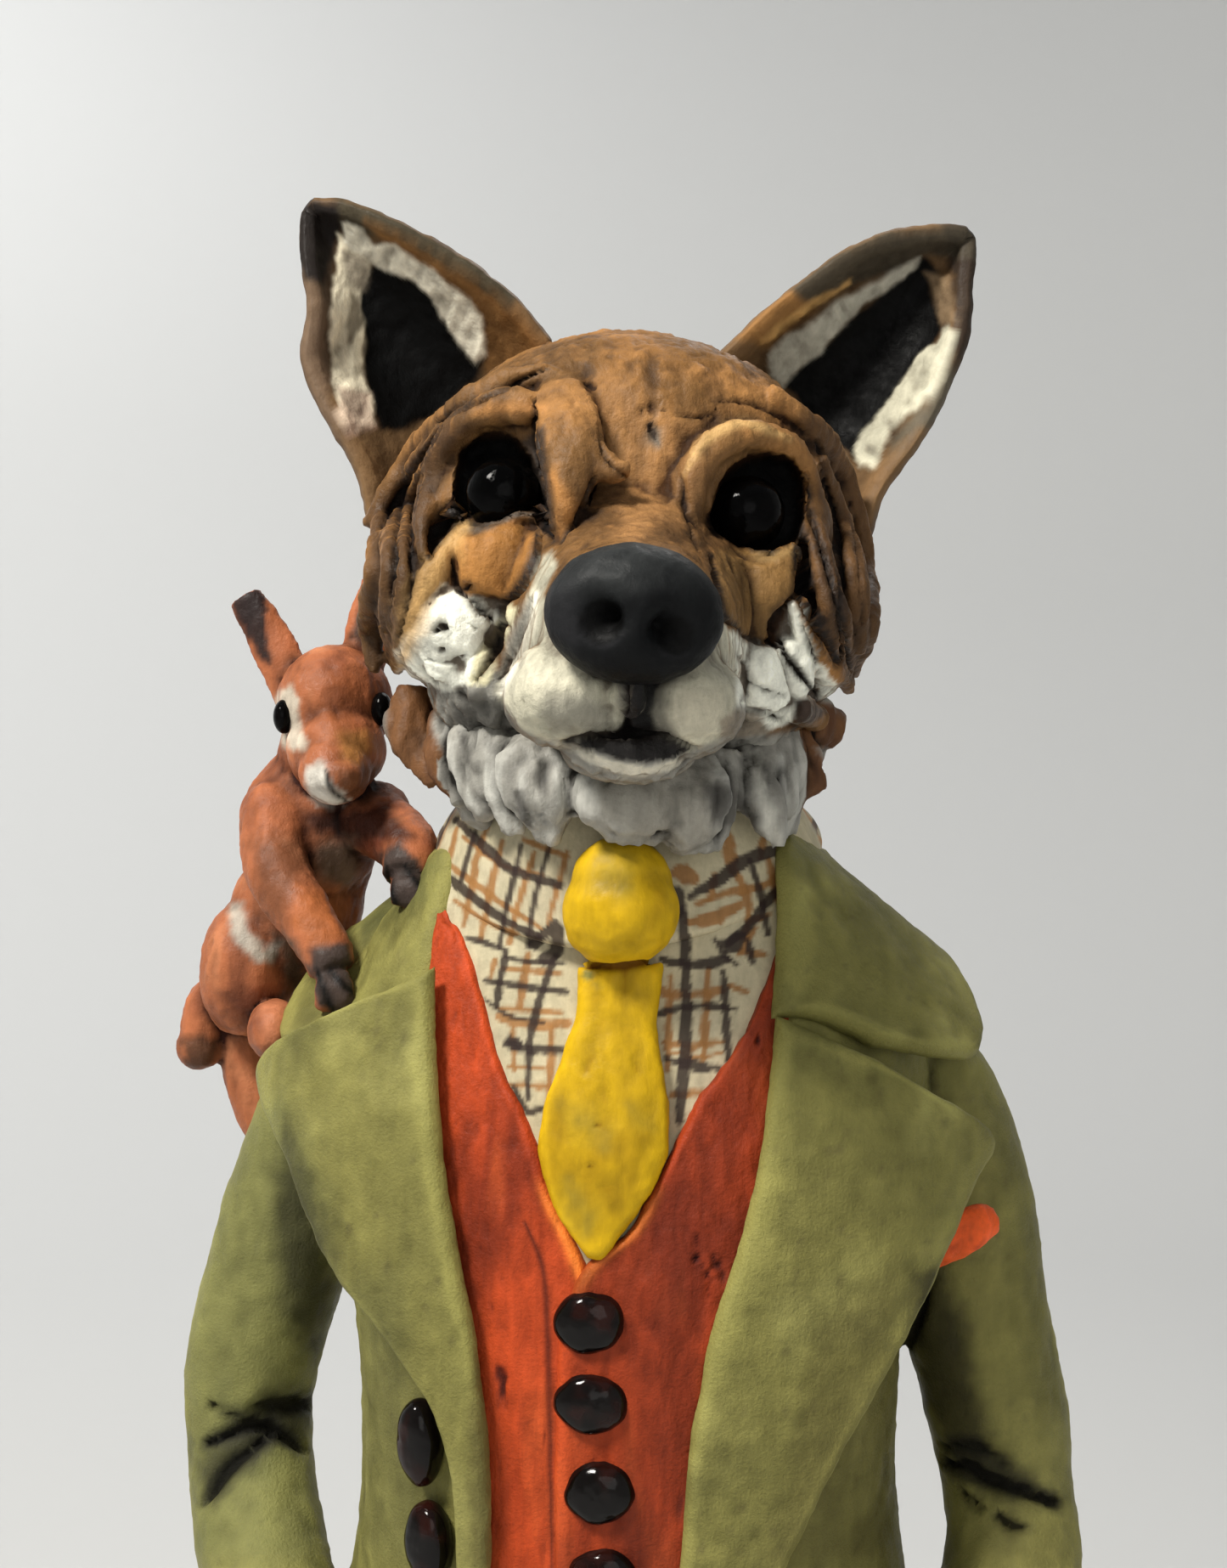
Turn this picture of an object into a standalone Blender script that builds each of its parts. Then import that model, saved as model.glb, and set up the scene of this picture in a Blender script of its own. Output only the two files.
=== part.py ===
"""A standing ceramic fox in a green coat, waistcoat, checked shirt and tie, with a squirrel on its shoulder.

The figure and its low base are one piece of fired clay. Each form below is modelled by itself, and all are
fused into one skin, as wet clay is. The base and the crisp glazed forms are then joined to that skin.
Metres, +Z up. The figure faces -Y, and the origin is the middle of the base's underside.
"""
import math

import bmesh
import bpy
import numpy as np
from mathutils import Euler, Matrix

# Driving sizes, in metres
FIGURE_HEIGHT = 0.637
BASE_WIDTH = 0.240
BASE_DEPTH = 0.228
BASE_THICKNESS = 0.020
BASE_EDGE_ROUND = 0.004
COAT_THICKNESS = 0.0045
LAPEL_THICKNESS = 0.0045
WAISTCOAT_THICKNESS = 0.0035
EAR_WALL = 0.0050
EYE_DIAMETER = 0.0180
BUTTON_DIAMETER = 0.0165
BUTTON_DOME = 0.0045

# Pose, in degrees
BODY_TURN = -8.0
HEAD_TILT = 3.5

# The skin that fuses the forms
SKIN_VOXEL = 0.0015
SKIN_TRIANGLES = 7050

# Places and free forms keep their share of the height: they are in millimetres of a figure 637 mm tall,
# measured from the middle of the base's top, and MM is what such a millimetre is now.
DESIGN_HEIGHT = 637.0
MM = FIGURE_HEIGHT / DESIGN_HEIGHT
HEAD_CENTRE = (0.0, -8.0, 540.0)


def clear_scene():
    for old in list(bpy.data.objects):
        bpy.data.objects.remove(old)


def collection(name, hidden=False):
    made = bpy.data.collections.new(name)
    made.hide_render = hidden
    bpy.context.scene.collection.children.link(made)
    return made


# Curves and frames

def through(points, count):
    """A smooth Catmull-Rom run through rows of numbers, sampled evenly from the first row to the last."""
    rows = np.asarray(points, float)
    rows = np.vstack([2 * rows[0] - rows[1], rows, 2 * rows[-1] - rows[-2]])
    t = np.linspace(0, len(rows) - 3 - 1e-9, count)
    i = t.astype(int)
    f = (t - i)[:, None]
    a, b, c, d = rows[i], rows[i + 1], rows[i + 2], rows[i + 3]
    return 0.5 * (2 * b + (c - a) * f + (2 * a - 5 * b + 4 * c - d) * f**2 + (3 * b - a - 3 * c + d) * f**3)


def turned(points, degrees, axis, centre=(0, 0, 0)):
    turn = np.array(Matrix.Rotation(math.radians(degrees), 3, axis))
    return (np.asarray(points, float) - centre) @ turn.T + centre


def on_body(points):
    """From the body's own straight frame to the figure's, turned a little about the upright axis."""
    return turned(points, BODY_TURN, "Z")


def on_head(points):
    """From the head's frame, with its origin at the middle of the skull, to the figure's."""
    return turned(points, HEAD_TILT, "Y") + HEAD_CENTRE


def as_is(points):
    return np.asarray(points, float)


def place(points):
    return np.asarray(points, float) * MM + (0, 0, BASE_THICKNESS)


# Forms. Each is one closed mesh, made in figure millimetres and put in place by its frame.

forms = []


def add_form(form):
    forms_collection.objects.link(form)
    form.hide_render = True
    form.display_type = "WIRE"
    forms.append(form)
    return form


def mesh_form(name, points, faces):
    mesh = bpy.data.meshes.new(name)
    mesh.from_pydata([tuple(p) for p in place(points)], [], faces)
    work = bmesh.new()
    work.from_mesh(mesh)
    bmesh.ops.recalc_face_normals(work, faces=work.faces)
    work.to_mesh(mesh)
    work.free()
    return add_form(bpy.data.objects.new(name, mesh))


def ball(name, frame, centre, radii, turn=(0, 0, 0), dents=(), segments=28, rings=18):
    """An ellipsoid, turned by degrees about X, Y and Z. A dent is (place, radius, depth): it pushes the
    surface in towards the middle, or out where its depth is negative."""
    work = bmesh.new()
    bmesh.ops.create_uvsphere(work, u_segments=segments, v_segments=rings, radius=1)
    unit = np.array([v.co[:] for v in work.verts])
    spin = np.array(Euler([math.radians(a) for a in turn]).to_matrix())
    points = (unit * radii) @ spin.T + centre
    for where, radius, depth in dents:
        pull = np.exp(-(np.linalg.norm(points - where, axis=1) / radius) ** 2)[:, None]
        inwards = np.asarray(centre) - points
        points = points + inwards / np.linalg.norm(inwards, axis=1)[:, None] * pull * depth
    for vertex, point in zip(work.verts, place(frame(points))):
        vertex.co = point
    mesh = bpy.data.meshes.new(name)
    work.to_mesh(mesh)
    work.free()
    return add_form(bpy.data.objects.new(name, mesh))


def crisp_ball(name, frame, centre, radii, turn=(0, 0, 0), dents=(), segments=14, rings=7):
    """A ball that is joined after the skin is thinned, and hidden by itself."""
    made = ball(name, frame, centre, radii, turn, dents, segments, rings)
    forms.remove(made)
    forms_collection.objects.unlink(made)
    crisp_collection.objects.link(made)
    made.data.shade_smooth()
    return made


def tube(name, frame, points, radii, count=24):
    """A round limb or roll of clay: a curve bevelled to the radius that each of its points gives."""
    rows = through(np.column_stack([points, radii]), count)
    data = bpy.data.curves.new(name, "CURVE")
    data.dimensions = "3D"
    data.bevel_depth = MM
    data.bevel_resolution = 3
    data.use_fill_caps = True
    line = data.splines.new("POLY")
    line.points.add(count - 1)
    for point, where, radius in zip(line.points, place(frame(rows[:, :3])), rows[:, 3]):
        point.co = (*where, 1)
        point.radius = radius
    return add_form(bpy.data.objects.new(name, data))


def rings_form(name, frame, rings):
    """A skin over rings of equal count, closed at both ends."""
    rows, count = rings.shape[:2]
    faces = [
        (r * count + k, r * count + (k + 1) % count, (r + 1) * count + (k + 1) % count, (r + 1) * count + k)
        for r in range(rows - 1)
        for k in range(count)
    ]
    faces += [tuple(range(count - 1, -1, -1)), tuple(range((rows - 1) * count, rows * count))]
    return mesh_form(name, frame(rings.reshape(-1, 3)), faces)


def oval(count, power=2.0):
    """Points of a superellipse of half-width and half-depth 1, as columns of x and y."""
    angle = np.linspace(0, 2 * math.pi, count, endpoint=False)
    c, s = np.cos(angle), np.sin(angle)
    return np.sign(c) * np.abs(c) ** (2 / power), np.sign(s) * np.abs(s) ** (2 / power)


def strip(name, frame, points, widths, thicknesses, facing, count=16):
    """A flattened roll of clay along a path. Its flat side looks along facing."""
    rows = through(np.column_stack([points, widths, thicknesses]), count)
    path, half = rows[:, :3], rows[:, 3:] / 2
    along = np.gradient(path, axis=0)
    along /= np.linalg.norm(along, axis=1)[:, None]
    side = np.cross(along, np.asarray(facing, float))
    side /= np.linalg.norm(side, axis=1)[:, None]
    out = np.cross(side, along)
    x, y = oval(10)
    rings = (
        path[:, None]
        + side[:, None] * (x[None, :, None] * half[:, 0, None, None])
        + out[:, None] * (y[None, :, None] * half[:, 1, None, None])
    )
    return rings_form(name, frame, rings)


def sheet(name, frame, grid, thickness, offset=0.0):
    """A slab of clay rolled to a thickness, in metres, and laid to a grid of points. Offset -1 puts the
    thickness behind the grid's face, 1 before it."""
    rows, columns = grid.shape[:2]
    faces = [
        (r * columns + k, r * columns + k + 1, (r + 1) * columns + k + 1, (r + 1) * columns + k)
        for r in range(rows - 1)
        for k in range(columns - 1)
    ]
    mesh = bpy.data.meshes.new(name)
    mesh.from_pydata([tuple(p) for p in place(frame(grid.reshape(-1, 3)))], [], faces)
    made = add_form(bpy.data.objects.new(name, mesh))
    wall = made.modifiers.new("Wall", "SOLIDIFY")
    wall.thickness = thickness
    wall.offset = offset
    wall.use_even_offset = False
    return made


def between(first, second, across, curve=None):
    """A grid ruled from one edge to the other, row by row."""
    share = np.linspace(0, 1, across)
    grid = first[:, None] * (1 - share)[None, :, None] + second[:, None] * share[None, :, None]
    return grid if curve is None else grid + curve(share)


def mirrored(points, side):
    """A right-hand form's points (viewer's right, +X), or those of its twin on the other side."""
    return np.asarray(points, float) * (side, 1, 1)


SIDES = {"right": 1, "left": -1}


# The body under the clothes: rows of height, half-width and half-depth
BODY_POWER = 2.3
BODY_ROWS = np.array([
    (192, 40, 26), (204, 62, 42), (222, 67, 48), (250, 68, 50), (280, 66, 52), (310, 64.5, 53),
    (340, 66, 54), (370, 69, 53), (400, 73, 50), (420, 72, 46), (436, 65, 43), (449, 56, 41),
    (461, 48, 40), (474, 44, 39),
])
HEM = 222.0
COAT_TOP = 463.0
COAT_FLARE = 7.0


def body_size(height, grow=0.0):
    """Half-width and half-depth of the body at a height, grown outwards."""
    rows = through(BODY_ROWS, 200)
    wide, deep = (np.interp(height, rows[:, 0], rows[:, k]) for k in (1, 2))
    return wide + grow, deep + grow


def chest(x, height, grow=0.0, widen=0.0):
    """The point on the body's front at x and height, on a body grown outwards and widened."""
    x, height = np.broadcast_arrays(np.asarray(x, float), np.asarray(height, float))
    wide, deep = body_size(height, grow)
    share = np.clip(np.abs(x) / (wide + widen), 0, 0.995)
    return np.stack([x, -deep * (1 - share**BODY_POWER) ** (1 / BODY_POWER), height], -1)


def on_chest(outline, count, grow, widen=0.0):
    """A smooth edge on the chest, from rows of x and height."""
    rows = through(outline, count)
    return chest(rows[:, 0], rows[:, 1], grow, widen)


def in_mm(metres):
    return metres / MM


# Head. The balls of the face are rows of centre and radii; they are both modelled and lain upon.
FACE_BALLS = {
    "skull": ((-1, 4, 8.5), (55.5, 54, 48)),
    "forehead": ((0, -18, 20), (47, 30, 31)),
    "cheek_right": ((34, -12, -16), (27, 34, 25)),
    "cheek_left": ((-35, -12, -16), (28, 34, 25)),
    "jaw_right": ((27, -16, -36), (21, 31, 18)),
    "jaw_left": ((-27, -16, -36), (21, 31, 18)),
}
EYE_PLACE = (30.5, -45, 6.5)
MUZZLE_LEAN = 2.2


def on_face(x, z, lift=0.0):
    """The foremost point of the face's balls at x and z, grown by lift."""
    x, z = np.broadcast_arrays(np.asarray(x, float), np.asarray(z, float))
    depth = np.full(x.shape, 1e3)
    for (cx, cy, cz), radii in FACE_BALLS.values():
        rx, ry, rz = (r + lift for r in radii)
        room = 1 - ((x - cx) / rx) ** 2 - ((z - cz) / rz) ** 2
        depth = np.minimum(depth, np.where(room > 0, cy - ry * np.sqrt(np.clip(room, 0, 1)), 1e3))
    return np.stack([x, np.where(depth < 1e3, depth, 0.0), z], -1)


def face_strip(name, path, widths, thicknesses, side, lift=0.0):
    """A strip of clay laid on the face along rows of x and z, given for the viewer's right."""
    rows = np.asarray(path, float)
    points = on_face(rows[:, 0] * side, rows[:, 1], lift)
    out = np.mean(points - (0, 4, 5), axis=0) * (1, 1, 0.4)
    strip(name, on_head, points, widths, thicknesses, out / np.linalg.norm(out))


def make_head():
    for name, (centre, radii) in FACE_BALLS.items():
        ball(name, on_head, centre, radii)
    for side, s in SIDES.items():
        place_of_eye = np.multiply(EYE_PLACE, (s, 1, 1))
        ball(f"lip_{side}", on_head, (MUZZLE_LEAN + s * 12.5, -90, -43.5), (12.5, 17, 10.5))
        ball(f"socket_{side}", on_head, (s * 31, -29, 4), (19, 16, 17), dents=[(place_of_eye, 11, 4)])
    # The muzzle runs from between the eyes to behind the nose: rows of y, half-width, top and bottom
    muzzle = through([
        (-28, 36, 27, -50), (-45, 30, 12, -54), (-62, 25, 0, -55), (-80, 20.5, -8, -54),
        (-95, 16, -14, -50), (-103, 12, -18, -44),
    ], 16)
    x, z = oval(28, 2.2)
    rings = np.stack([
        x[None] * muzzle[:, 1, None] + MUZZLE_LEAN * (muzzle[:, :1] + 28) / -75,
        np.broadcast_to(muzzle[:, :1], (len(muzzle), len(x))),
        (muzzle[:, 2] + muzzle[:, 3])[:, None] / 2 + z[None] * ((muzzle[:, 2] - muzzle[:, 3]) / 2)[:, None],
    ], -1)
    rings_form("muzzle", on_head, rings)
    ball("chin", on_head, (MUZZLE_LEAN, -82, -53), (14, 18, 6.5))
    ball("philtrum", on_head, (MUZZLE_LEAN, -104, -40), (3.0, 5, 7))


def make_glazed_forms():
    """The eyes, the nose and the buttons, which keep a crisp edge where they meet the clay."""
    eye = in_mm(EYE_DIAMETER) / 2
    for side, s in SIDES.items():
        centre = np.multiply(EYE_PLACE, (s, 1, 1))
        crisp_ball(f"eye_{side}", on_head, centre, (eye, eye, eye), segments=14, rings=10)
    nostrils = [((MUZZLE_LEAN - 0.6 + s * 7.5, -119.5, -28.5), 3.8, 6.5) for s in SIDES.values()]
    crisp_ball("nose", on_head, (MUZZLE_LEAN - 0.6, -107, -26.5), (17.8, 12.5, 14), dents=nostrils,
               segments=26, rings=16)
    radius, dome = in_mm(BUTTON_DIAMETER) / 2, in_mm(BUTTON_DOME)
    for number, (x, z) in enumerate(WAISTCOAT_BUTTONS):
        centre = chest(x, z, in_mm(WAISTCOAT_THICKNESS) + 2)
        crisp_ball(f"waistcoat_button_{number}", on_body, centre, (radius, dome, radius * 0.88), (0, 0, 0))
    for number, (x, z) in enumerate(COAT_BUTTONS):
        centre = chest(x, z, in_mm(COAT_THICKNESS) + 2.5)
        crisp_ball(f"coat_button_{number}", on_body, centre, (radius, dome, radius * 1.05), (0, 0, -38))


def make_brows():
    for side, s in SIDES.items():
        lid = [(14, -52, 3), (17, -56, 14), (28, -56, 20), (40, -50, 17), (47, -41, 7), (49, -35, -6)]
        strip(f"brow_{side}", on_head, mirrored(lid, s), (6, 8, 9, 9, 8, 5), (5, 7, 8, 8, 7, 5),
              (0, -1, 0.2))
        under = mirrored([(14, -53, -2), (24, -53, -7), (36, -49, -8), (45, -42, -3)], s)
        strip(f"lower_lid_{side}", on_head, under, (5, 6, 6, 4), (5, 6, 6, 5), (0, -1, -0.2))
        pouch = mirrored([(35, -46, -8), (34, -48, -17), (31, -46, -27)], s)
        strip(f"pouch_{side}", on_head, pouch, (19, 20, 9), (6, 8, 5), (s * 0.2, -1, 0))
    # One leaf of clay hangs beside the bridge of the nose, only on the viewer's left
    leaf = [(-27, -44, 34), (-17, -50, 29), (-11, -57, 15), (-13, -59, 2)]
    strip("brow_leaf", on_head, leaf, (10, 17, 13, 4), (6, 7, 6, 4), (0, -1, 0.3))


def make_face_locks():
    """Long strips of fur from the forehead round the temple, and down the cheek to the jaw."""
    locks = [
        ([(20, 41), (38, 33), (50, 18), (57, 0)], (5, 8, 9, 4)),
        ([(46, 17), (54, 2), (57, -14), (53, -30)], (5, 9, 9, 4)),
        ([(55, 4), (61, -10), (61, -24), (55, -37)], (6, 10, 10, 4)),
        ([(46, -6), (51, -18), (49, -30), (43, -41)], (5, 8, 9, 4)),
        ([(38, -22), (37, -33), (32, -44)], (8, 10, 4)),
        ([(30, -30), (29, -40), (25, -49)], (6, 8, 4)),
    ]
    for side, s in SIDES.items():
        for number, (path, widths) in enumerate(locks):
            thick = [5 + 0.4 * w / 2 for w in widths]
            face_strip(f"lock_{side}_{number}", path, widths, thick, s, 1.0 if s > 0 else 0.3)


# The rims of the ears, as rows of x, y and z on the head: the upper edge out to the tip, and the lower edge
EAR_RIMS = {
    "right": (
        [(20, 4, 52), (30, 3, 63), (40, 3, 72.5), (53, 3, 83), (63, 3, 88), (74, 4, 90.5), (84, 6, 91)],
        [(60, -2, 4), (64, -1, 20), (73, 0, 34), (79.5, 2, 48), (84, 3, 64), (85, 5, 80), (85.5, 7, 90)],
    ),
    "left": (
        [(-24, 4, 54), (-34, 3, 65), (-44, 3, 72), (-58, 3, 79.5), (-70, 3, 84), (-80, 4, 87.5),
         (-89, 6, 88.5)],
        [(-66, -2, 2), (-71, -1, 17), (-80, 0, 31), (-87, 2, 45), (-87, 3, 60), (-90, 5, 74), (-91, 7, 86)],
    ),
}


def make_ears():
    """Each ear is a slab pressed into a cup: ruled from one rim to the other, and pushed back between."""
    cup_depth = 27.0
    rows, across = 15, 13
    share = np.linspace(0, 1, across)
    for side, (upper, lower) in EAR_RIMS.items():
        depth = cup_depth * (1 - np.linspace(0, 1, rows)) ** 0.6
        grid = between(through(upper, rows), through(lower, rows), across)
        grid[..., 1] += depth[:, None] * np.sin(math.pi * share)[None] ** 0.7
        sheet(f"ear_{side}", on_head, grid, EAR_WALL, offset=0)


RUFF_LOCKS = [
    # angle round the throat from the front, how low it hangs, width
    (-84, 478, 20), (-62, 470, 22), (-40, 466, 22), (-20, 459, 21), (2, 463, 20), (20, 458, 20),
    (38, 461, 20), (60, 467, 22), (82, 476, 20),
]


def make_ruff():
    """Lumps of fur that hang round the throat, and loose dark locks behind the jaw."""
    ball("throat", as_is, (0, -14, 492), (41, 34, 24))
    for number, (angle, low, width) in enumerate(RUFF_LOCKS):
        a = math.radians(angle)
        out = np.array([math.sin(a), -math.cos(a), 0])
        top, bottom = np.array((0, -14, 507)) + out * 33, np.array((0, -10, low)) + out * 44
        strip(f"ruff_{number}", as_is, [top, (top + bottom) / 2 + out * 6, bottom],
              (width, width + 3, width * 0.5), (12, 15, 7), out)
    for side, s in SIDES.items():
        for number, (y, low) in enumerate([(4, 470), (20, 464)]):
            path = mirrored([(48, y, 512), (55, y + 2, 496), (48, y + 2, low)], s)
            strip(f"side_lock_{side}_{number}", as_is, path, (14, 18, 7), (7, 10, 5), (s, 0, 0))
    for number, angle in enumerate(np.linspace(115, 245, 5)):
        a = math.radians(angle)
        out = np.array([math.sin(a), -math.cos(a), 0])
        top, bottom = np.array((0, 0, 520)) + out * 44, np.array((0, 0, 470)) + out * 44
        strip(f"nape_lock_{number}", as_is, [top, (top + bottom) / 2 + out * 8, bottom],
              (24, 28, 12), (9, 12, 6), out)


# Clothes

def make_body():
    rows = through(BODY_ROWS, 26)
    x, y = oval(40, BODY_POWER)
    rings = np.stack([
        x[None] * rows[:, 1, None], y[None] * rows[:, 2, None],
        np.broadcast_to(rows[:, :1], (len(rows), len(x))),
    ], -1)
    rings_form("body", on_body, rings)
    tube("neck", as_is, [(0, 0, 455), (0, -1, 480), (0, -4, 520)], (41, 41, 38))


def make_shirt_and_tie():
    """The fold of the collar round the neck, the knot, and the blade down to the point of the waistcoat."""
    angles = np.radians(np.linspace(-158, 158, 30))
    drop = 474 - 33 * np.cos(angles / 2) ** 3
    top = np.stack([43 * np.sin(angles), -2 - 41 * np.cos(angles), np.full_like(angles, 474)], 1)
    low = np.stack([49 * np.sin(angles), -2 - 46 * np.cos(angles), drop], 1)
    sheet("shirt_collar", on_body, between(top, low, 5), 4 * MM, offset=0)
    ball("tie_knot", on_body, (5, -53, 451), (14.5, 11, 14))
    middle = [(4.5, 436), (3.5, 424), (2, 405), (1, 392), (0, 372)]
    half = through([(0, 9.5), (1, 9.5), (2, 12.5), (3, 14.5), (4, 1.2)], 16)[:, 1]
    line = through(middle, 16)
    edges = [chest(line[:, 0] + sign * half, line[:, 1], 5) for sign in (-1, 1)]
    sheet("tie_blade", on_body, between(*edges, 7), 6 * MM, offset=0)


def make_waistcoat():
    neckline = [(40, 446), (35, 425), (27, 405), (16, 387), (1, 369)]
    for side, s in SIDES.items():
        inner = [(s * x, z) for x, z in neckline] + [(s * 1 - 5, 340), (s * 1 - 6, 300), (s * 1 - 6, 240)]
        outer = [(s * 48, z) for _, z in inner]
        grow = in_mm(WAISTCOAT_THICKNESS) / 2
        grid = between(on_chest(inner, 24, grow), on_chest(outer, 24, grow), 8)
        grid = chest(grid[..., 0], grid[..., 2], grow)
        sheet(f"waistcoat_{side}", on_body, grid, WAISTCOAT_THICKNESS + 0.003, offset=0)
    lap = [(-8, 362), (-8, 300), (-8, 240)]
    lap_far = [(12, 362), (12, 300), (12, 240)]
    grow = in_mm(WAISTCOAT_THICKNESS) + 1
    sheet("waistcoat_lap", on_body, between(on_chest(lap, 12, grow), on_chest(lap_far, 12, grow), 4),
          WAISTCOAT_THICKNESS, offset=0)


WAISTCOAT_BUTTONS = [(-1.5, 356), (-1, 337.5), (1, 317), (1.5, 297)]
COAT_BUTTONS = [(-45, 330), (-43, 308)]


def coat_front(z):
    """How far the coat's left and right front edges stand from the middle, at each height."""
    heights = (222, 260, 300, 350, 387, 424, 440, 464)
    left = np.interp(z, heights, (30, 27, 25, 28, 37, 40, 40, 38))
    right = np.interp(z, heights, (16, 17, 22, 27, 37, 40, 40, 38))
    return left, right


def make_coat():
    """A slab wrapped round the body from one front edge, round the back, to the other."""
    z = np.linspace(HEM, COAT_TOP, 26)
    flare = COAT_FLARE * np.clip((300 - z) / (300 - HEM), 0, 1) ** 1.5
    wide, deep = body_size(z, in_mm(COAT_THICKNESS) / 2)
    wide, deep = wide + flare, deep + flare
    left, right = coat_front(z)
    first = -np.arccos((right / wide) ** (BODY_POWER / 2))
    last = math.pi + np.arccos((left / wide) ** (BODY_POWER / 2))
    angle = first[:, None] + (last - first)[:, None] * np.linspace(0, 1, 60)[None]
    c, s = np.cos(angle), np.sin(angle)
    grid = np.stack([
        wide[:, None] * np.sign(c) * np.abs(c) ** (2 / BODY_POWER),
        deep[:, None] * np.sign(s) * np.abs(s) ** (2 / BODY_POWER),
        np.broadcast_to(z[:, None], angle.shape),
    ], -1)
    sheet("coat", on_body, grid, COAT_THICKNESS * 1.6, offset=0)


LAPEL_WIDEN = 19.0


def make_lapels():
    """Wide lapels that lift off the chest at their corners, and the collar round the back of the neck."""
    inner = {
        "left": [(-41, 436), (-40, 420), (-37.5, 395), (-33, 372), (-27.5, 347), (-25, 322), (-25, 290),
                 (-28, 240)],
        "right": [(41, 426), (39, 406), (36, 385), (31, 368), (27, 355), (22, 330), (20, 305), (17, 262)],
    }
    outer = {
        "left": [(-66, 424), (-91, 408), (-79, 385), (-66, 363), (-52, 350), (-37, 329), (-33, 300),
                 (-34, 240)],
        "right": [(64, 415), (90, 397), (86, 384), (79, 368), (68, 347), (56, 326), (43, 300), (22, 262)],
    }
    lift = in_mm(COAT_THICKNESS + LAPEL_THICKNESS) * 0.75
    for side in SIDES:
        rows = [through(edge[side], 30) for edge in (inner, outer)]
        grid = between(rows[0], rows[1], 11)
        grid = chest(grid[..., 0], grid[..., 1], lift, LAPEL_WIDEN)
        sheet(f"lapel_{side}", on_body, grid, LAPEL_THICKNESS * 1.3, offset=0)
    neck = [(40, -30, 420), (42, -24, 438), (42, -12, 454), (42, 4, 466), (36, 24, 474), (0, 41, 477)]
    edge = [(64, -40, 419), (89, -18, 413), (84, 4, 431), (61, 20, 445), (38, 42, 452), (0, 53, 453)]
    for side, s in SIDES.items():
        grid = between(through(mirrored(neck, s), 24), through(mirrored(edge, s), 24), 9)
        swell = np.sin(math.pi * np.linspace(0, 1, 9))[None, :]
        grid[..., 2] += 2.5 * swell
        sheet(f"collar_{side}", on_body, grid, LAPEL_THICKNESS * 1.3, offset=0)
    square = chest(np.array([79, 84, 90]), np.array([374, 381, 386]), in_mm(COAT_THICKNESS) + 3, LAPEL_WIDEN)
    strip("pocket_square", on_body, square, (6, 11, 12), (5, 6, 8), (0.3, -1, 0))


def make_arms():
    """Sleeves bent at the elbow, with the hands pushed into the coat's side pockets."""
    sleeve = [(57, 8, 414), (77, 9, 398), (89, 10, 371), (95.5, 10, 343), (101.5, 9, 318), (102.5, 6, 298),
              (99.5, -4, 279), (91, -18, 265), (80, -30, 255), (72, -38, 249)]
    radii = (22, 20.5, 19.5, 19.3, 18.3, 16.8, 17.5, 17, 16.5, 15.5)
    lean = np.array([0, 0.5, 1, 1.8, 1.9, 1.3, 0.3, 0, 0, 0])[:, None] * (-3, 0, 0)
    for side, s in SIDES.items():
        tube(f"sleeve_{side}", on_body, mirrored(sleeve, s) + lean, radii, 34)
        ball(f"shoulder_{side}", on_body, (s * 54, 6, 411), (28, 28, 26))
        cuff = mirrored([(82, -30, 254), (72, -39, 248)], s)
        tube(f"cuff_{side}", on_body, cuff, (18.0, 17.5), 6)
        ball(f"hand_{side}", on_body, (s * 62, -48, 243), (14, 9, 13), (20, s * 35, 0))
        ball(f"elbow_patch_{side}", on_body, (s * 107 - 3, 15, 302), (9, 12, 20), (0, 0, s * 10))
        welt = mirrored(chest(np.array([44, 56, 68]), np.array([244, 241, 238]), 13), s)
        strip(f"pocket_{side}", on_body, welt, (12, 14, 12), (6, 8, 6), (s * 0.4, -1, 0))


def make_legs():
    for side, s in SIDES.items():
        leg = [(32, 0, 236), (35, -1, 205), (37, -5, 150), (38, -2, 100), (40, 2, 55), (41, 2, 24)]
        tube(f"leg_{side}", on_body, mirrored(leg, s), (37, 34, 29, 26, 25, 28), 26)
        for number, (z, y) in enumerate([(142, -31), (38, -23)]):
            fold = mirrored([(22, y + 8, z + 3), (38, y, z), (55, y + 10, z + 2)], s)
            tube(f"trouser_fold_{side}_{number}", on_body, fold, (2, 4, 2), 8)
        ball(f"shoe_{side}", on_body, (s * 44, -24, 11), (21, 42, 15), (0, 0, s * 9))
        ball(f"shoe_heel_{side}", on_body, (s * 41, 10, 9), (19, 21, 15))
        sole = mirrored([(40, 18, 3), (43, -12, 3), (49, -46, 3)], s)
        tube(f"sole_{side}", on_body, sole, (17, 20, 15), 10)


def make_tail():
    """A bushy tail that comes from under the coat and rests on the base behind the feet."""
    line = [(6, 48, 236), (22, 72, 205), (38, 84, 160), (44, 86, 110), (38, 84, 60), (26, 78, 22),
            (16, 70, 6)]
    radii = (13, 21, 27, 29, 26, 19, 8)
    tube("tail", as_is, line, radii, 30)
    rows = through(np.column_stack([line, radii]), 6)
    for number in range(1, 5):
        centre, radius = rows[number, :3], rows[number, 3]
        for turn in range(4):
            a = math.radians(90 * turn + 45 * (number % 2))
            out = np.array([math.cos(a), math.sin(a), 0.15])
            high, low = centre + out * radius * 0.8 + (0, 0, 22), centre + out * radius * 1.02 - (0, 0, 26)
            strip(f"tail_lock_{number}_{turn}", as_is, [high, centre + out * (radius * 1.08), low],
                  (16, 20, 5), (7, 9, 4), out, count=8)


# The squirrel on the shoulder at the viewer's left, looking over the fox's shoulder

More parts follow.
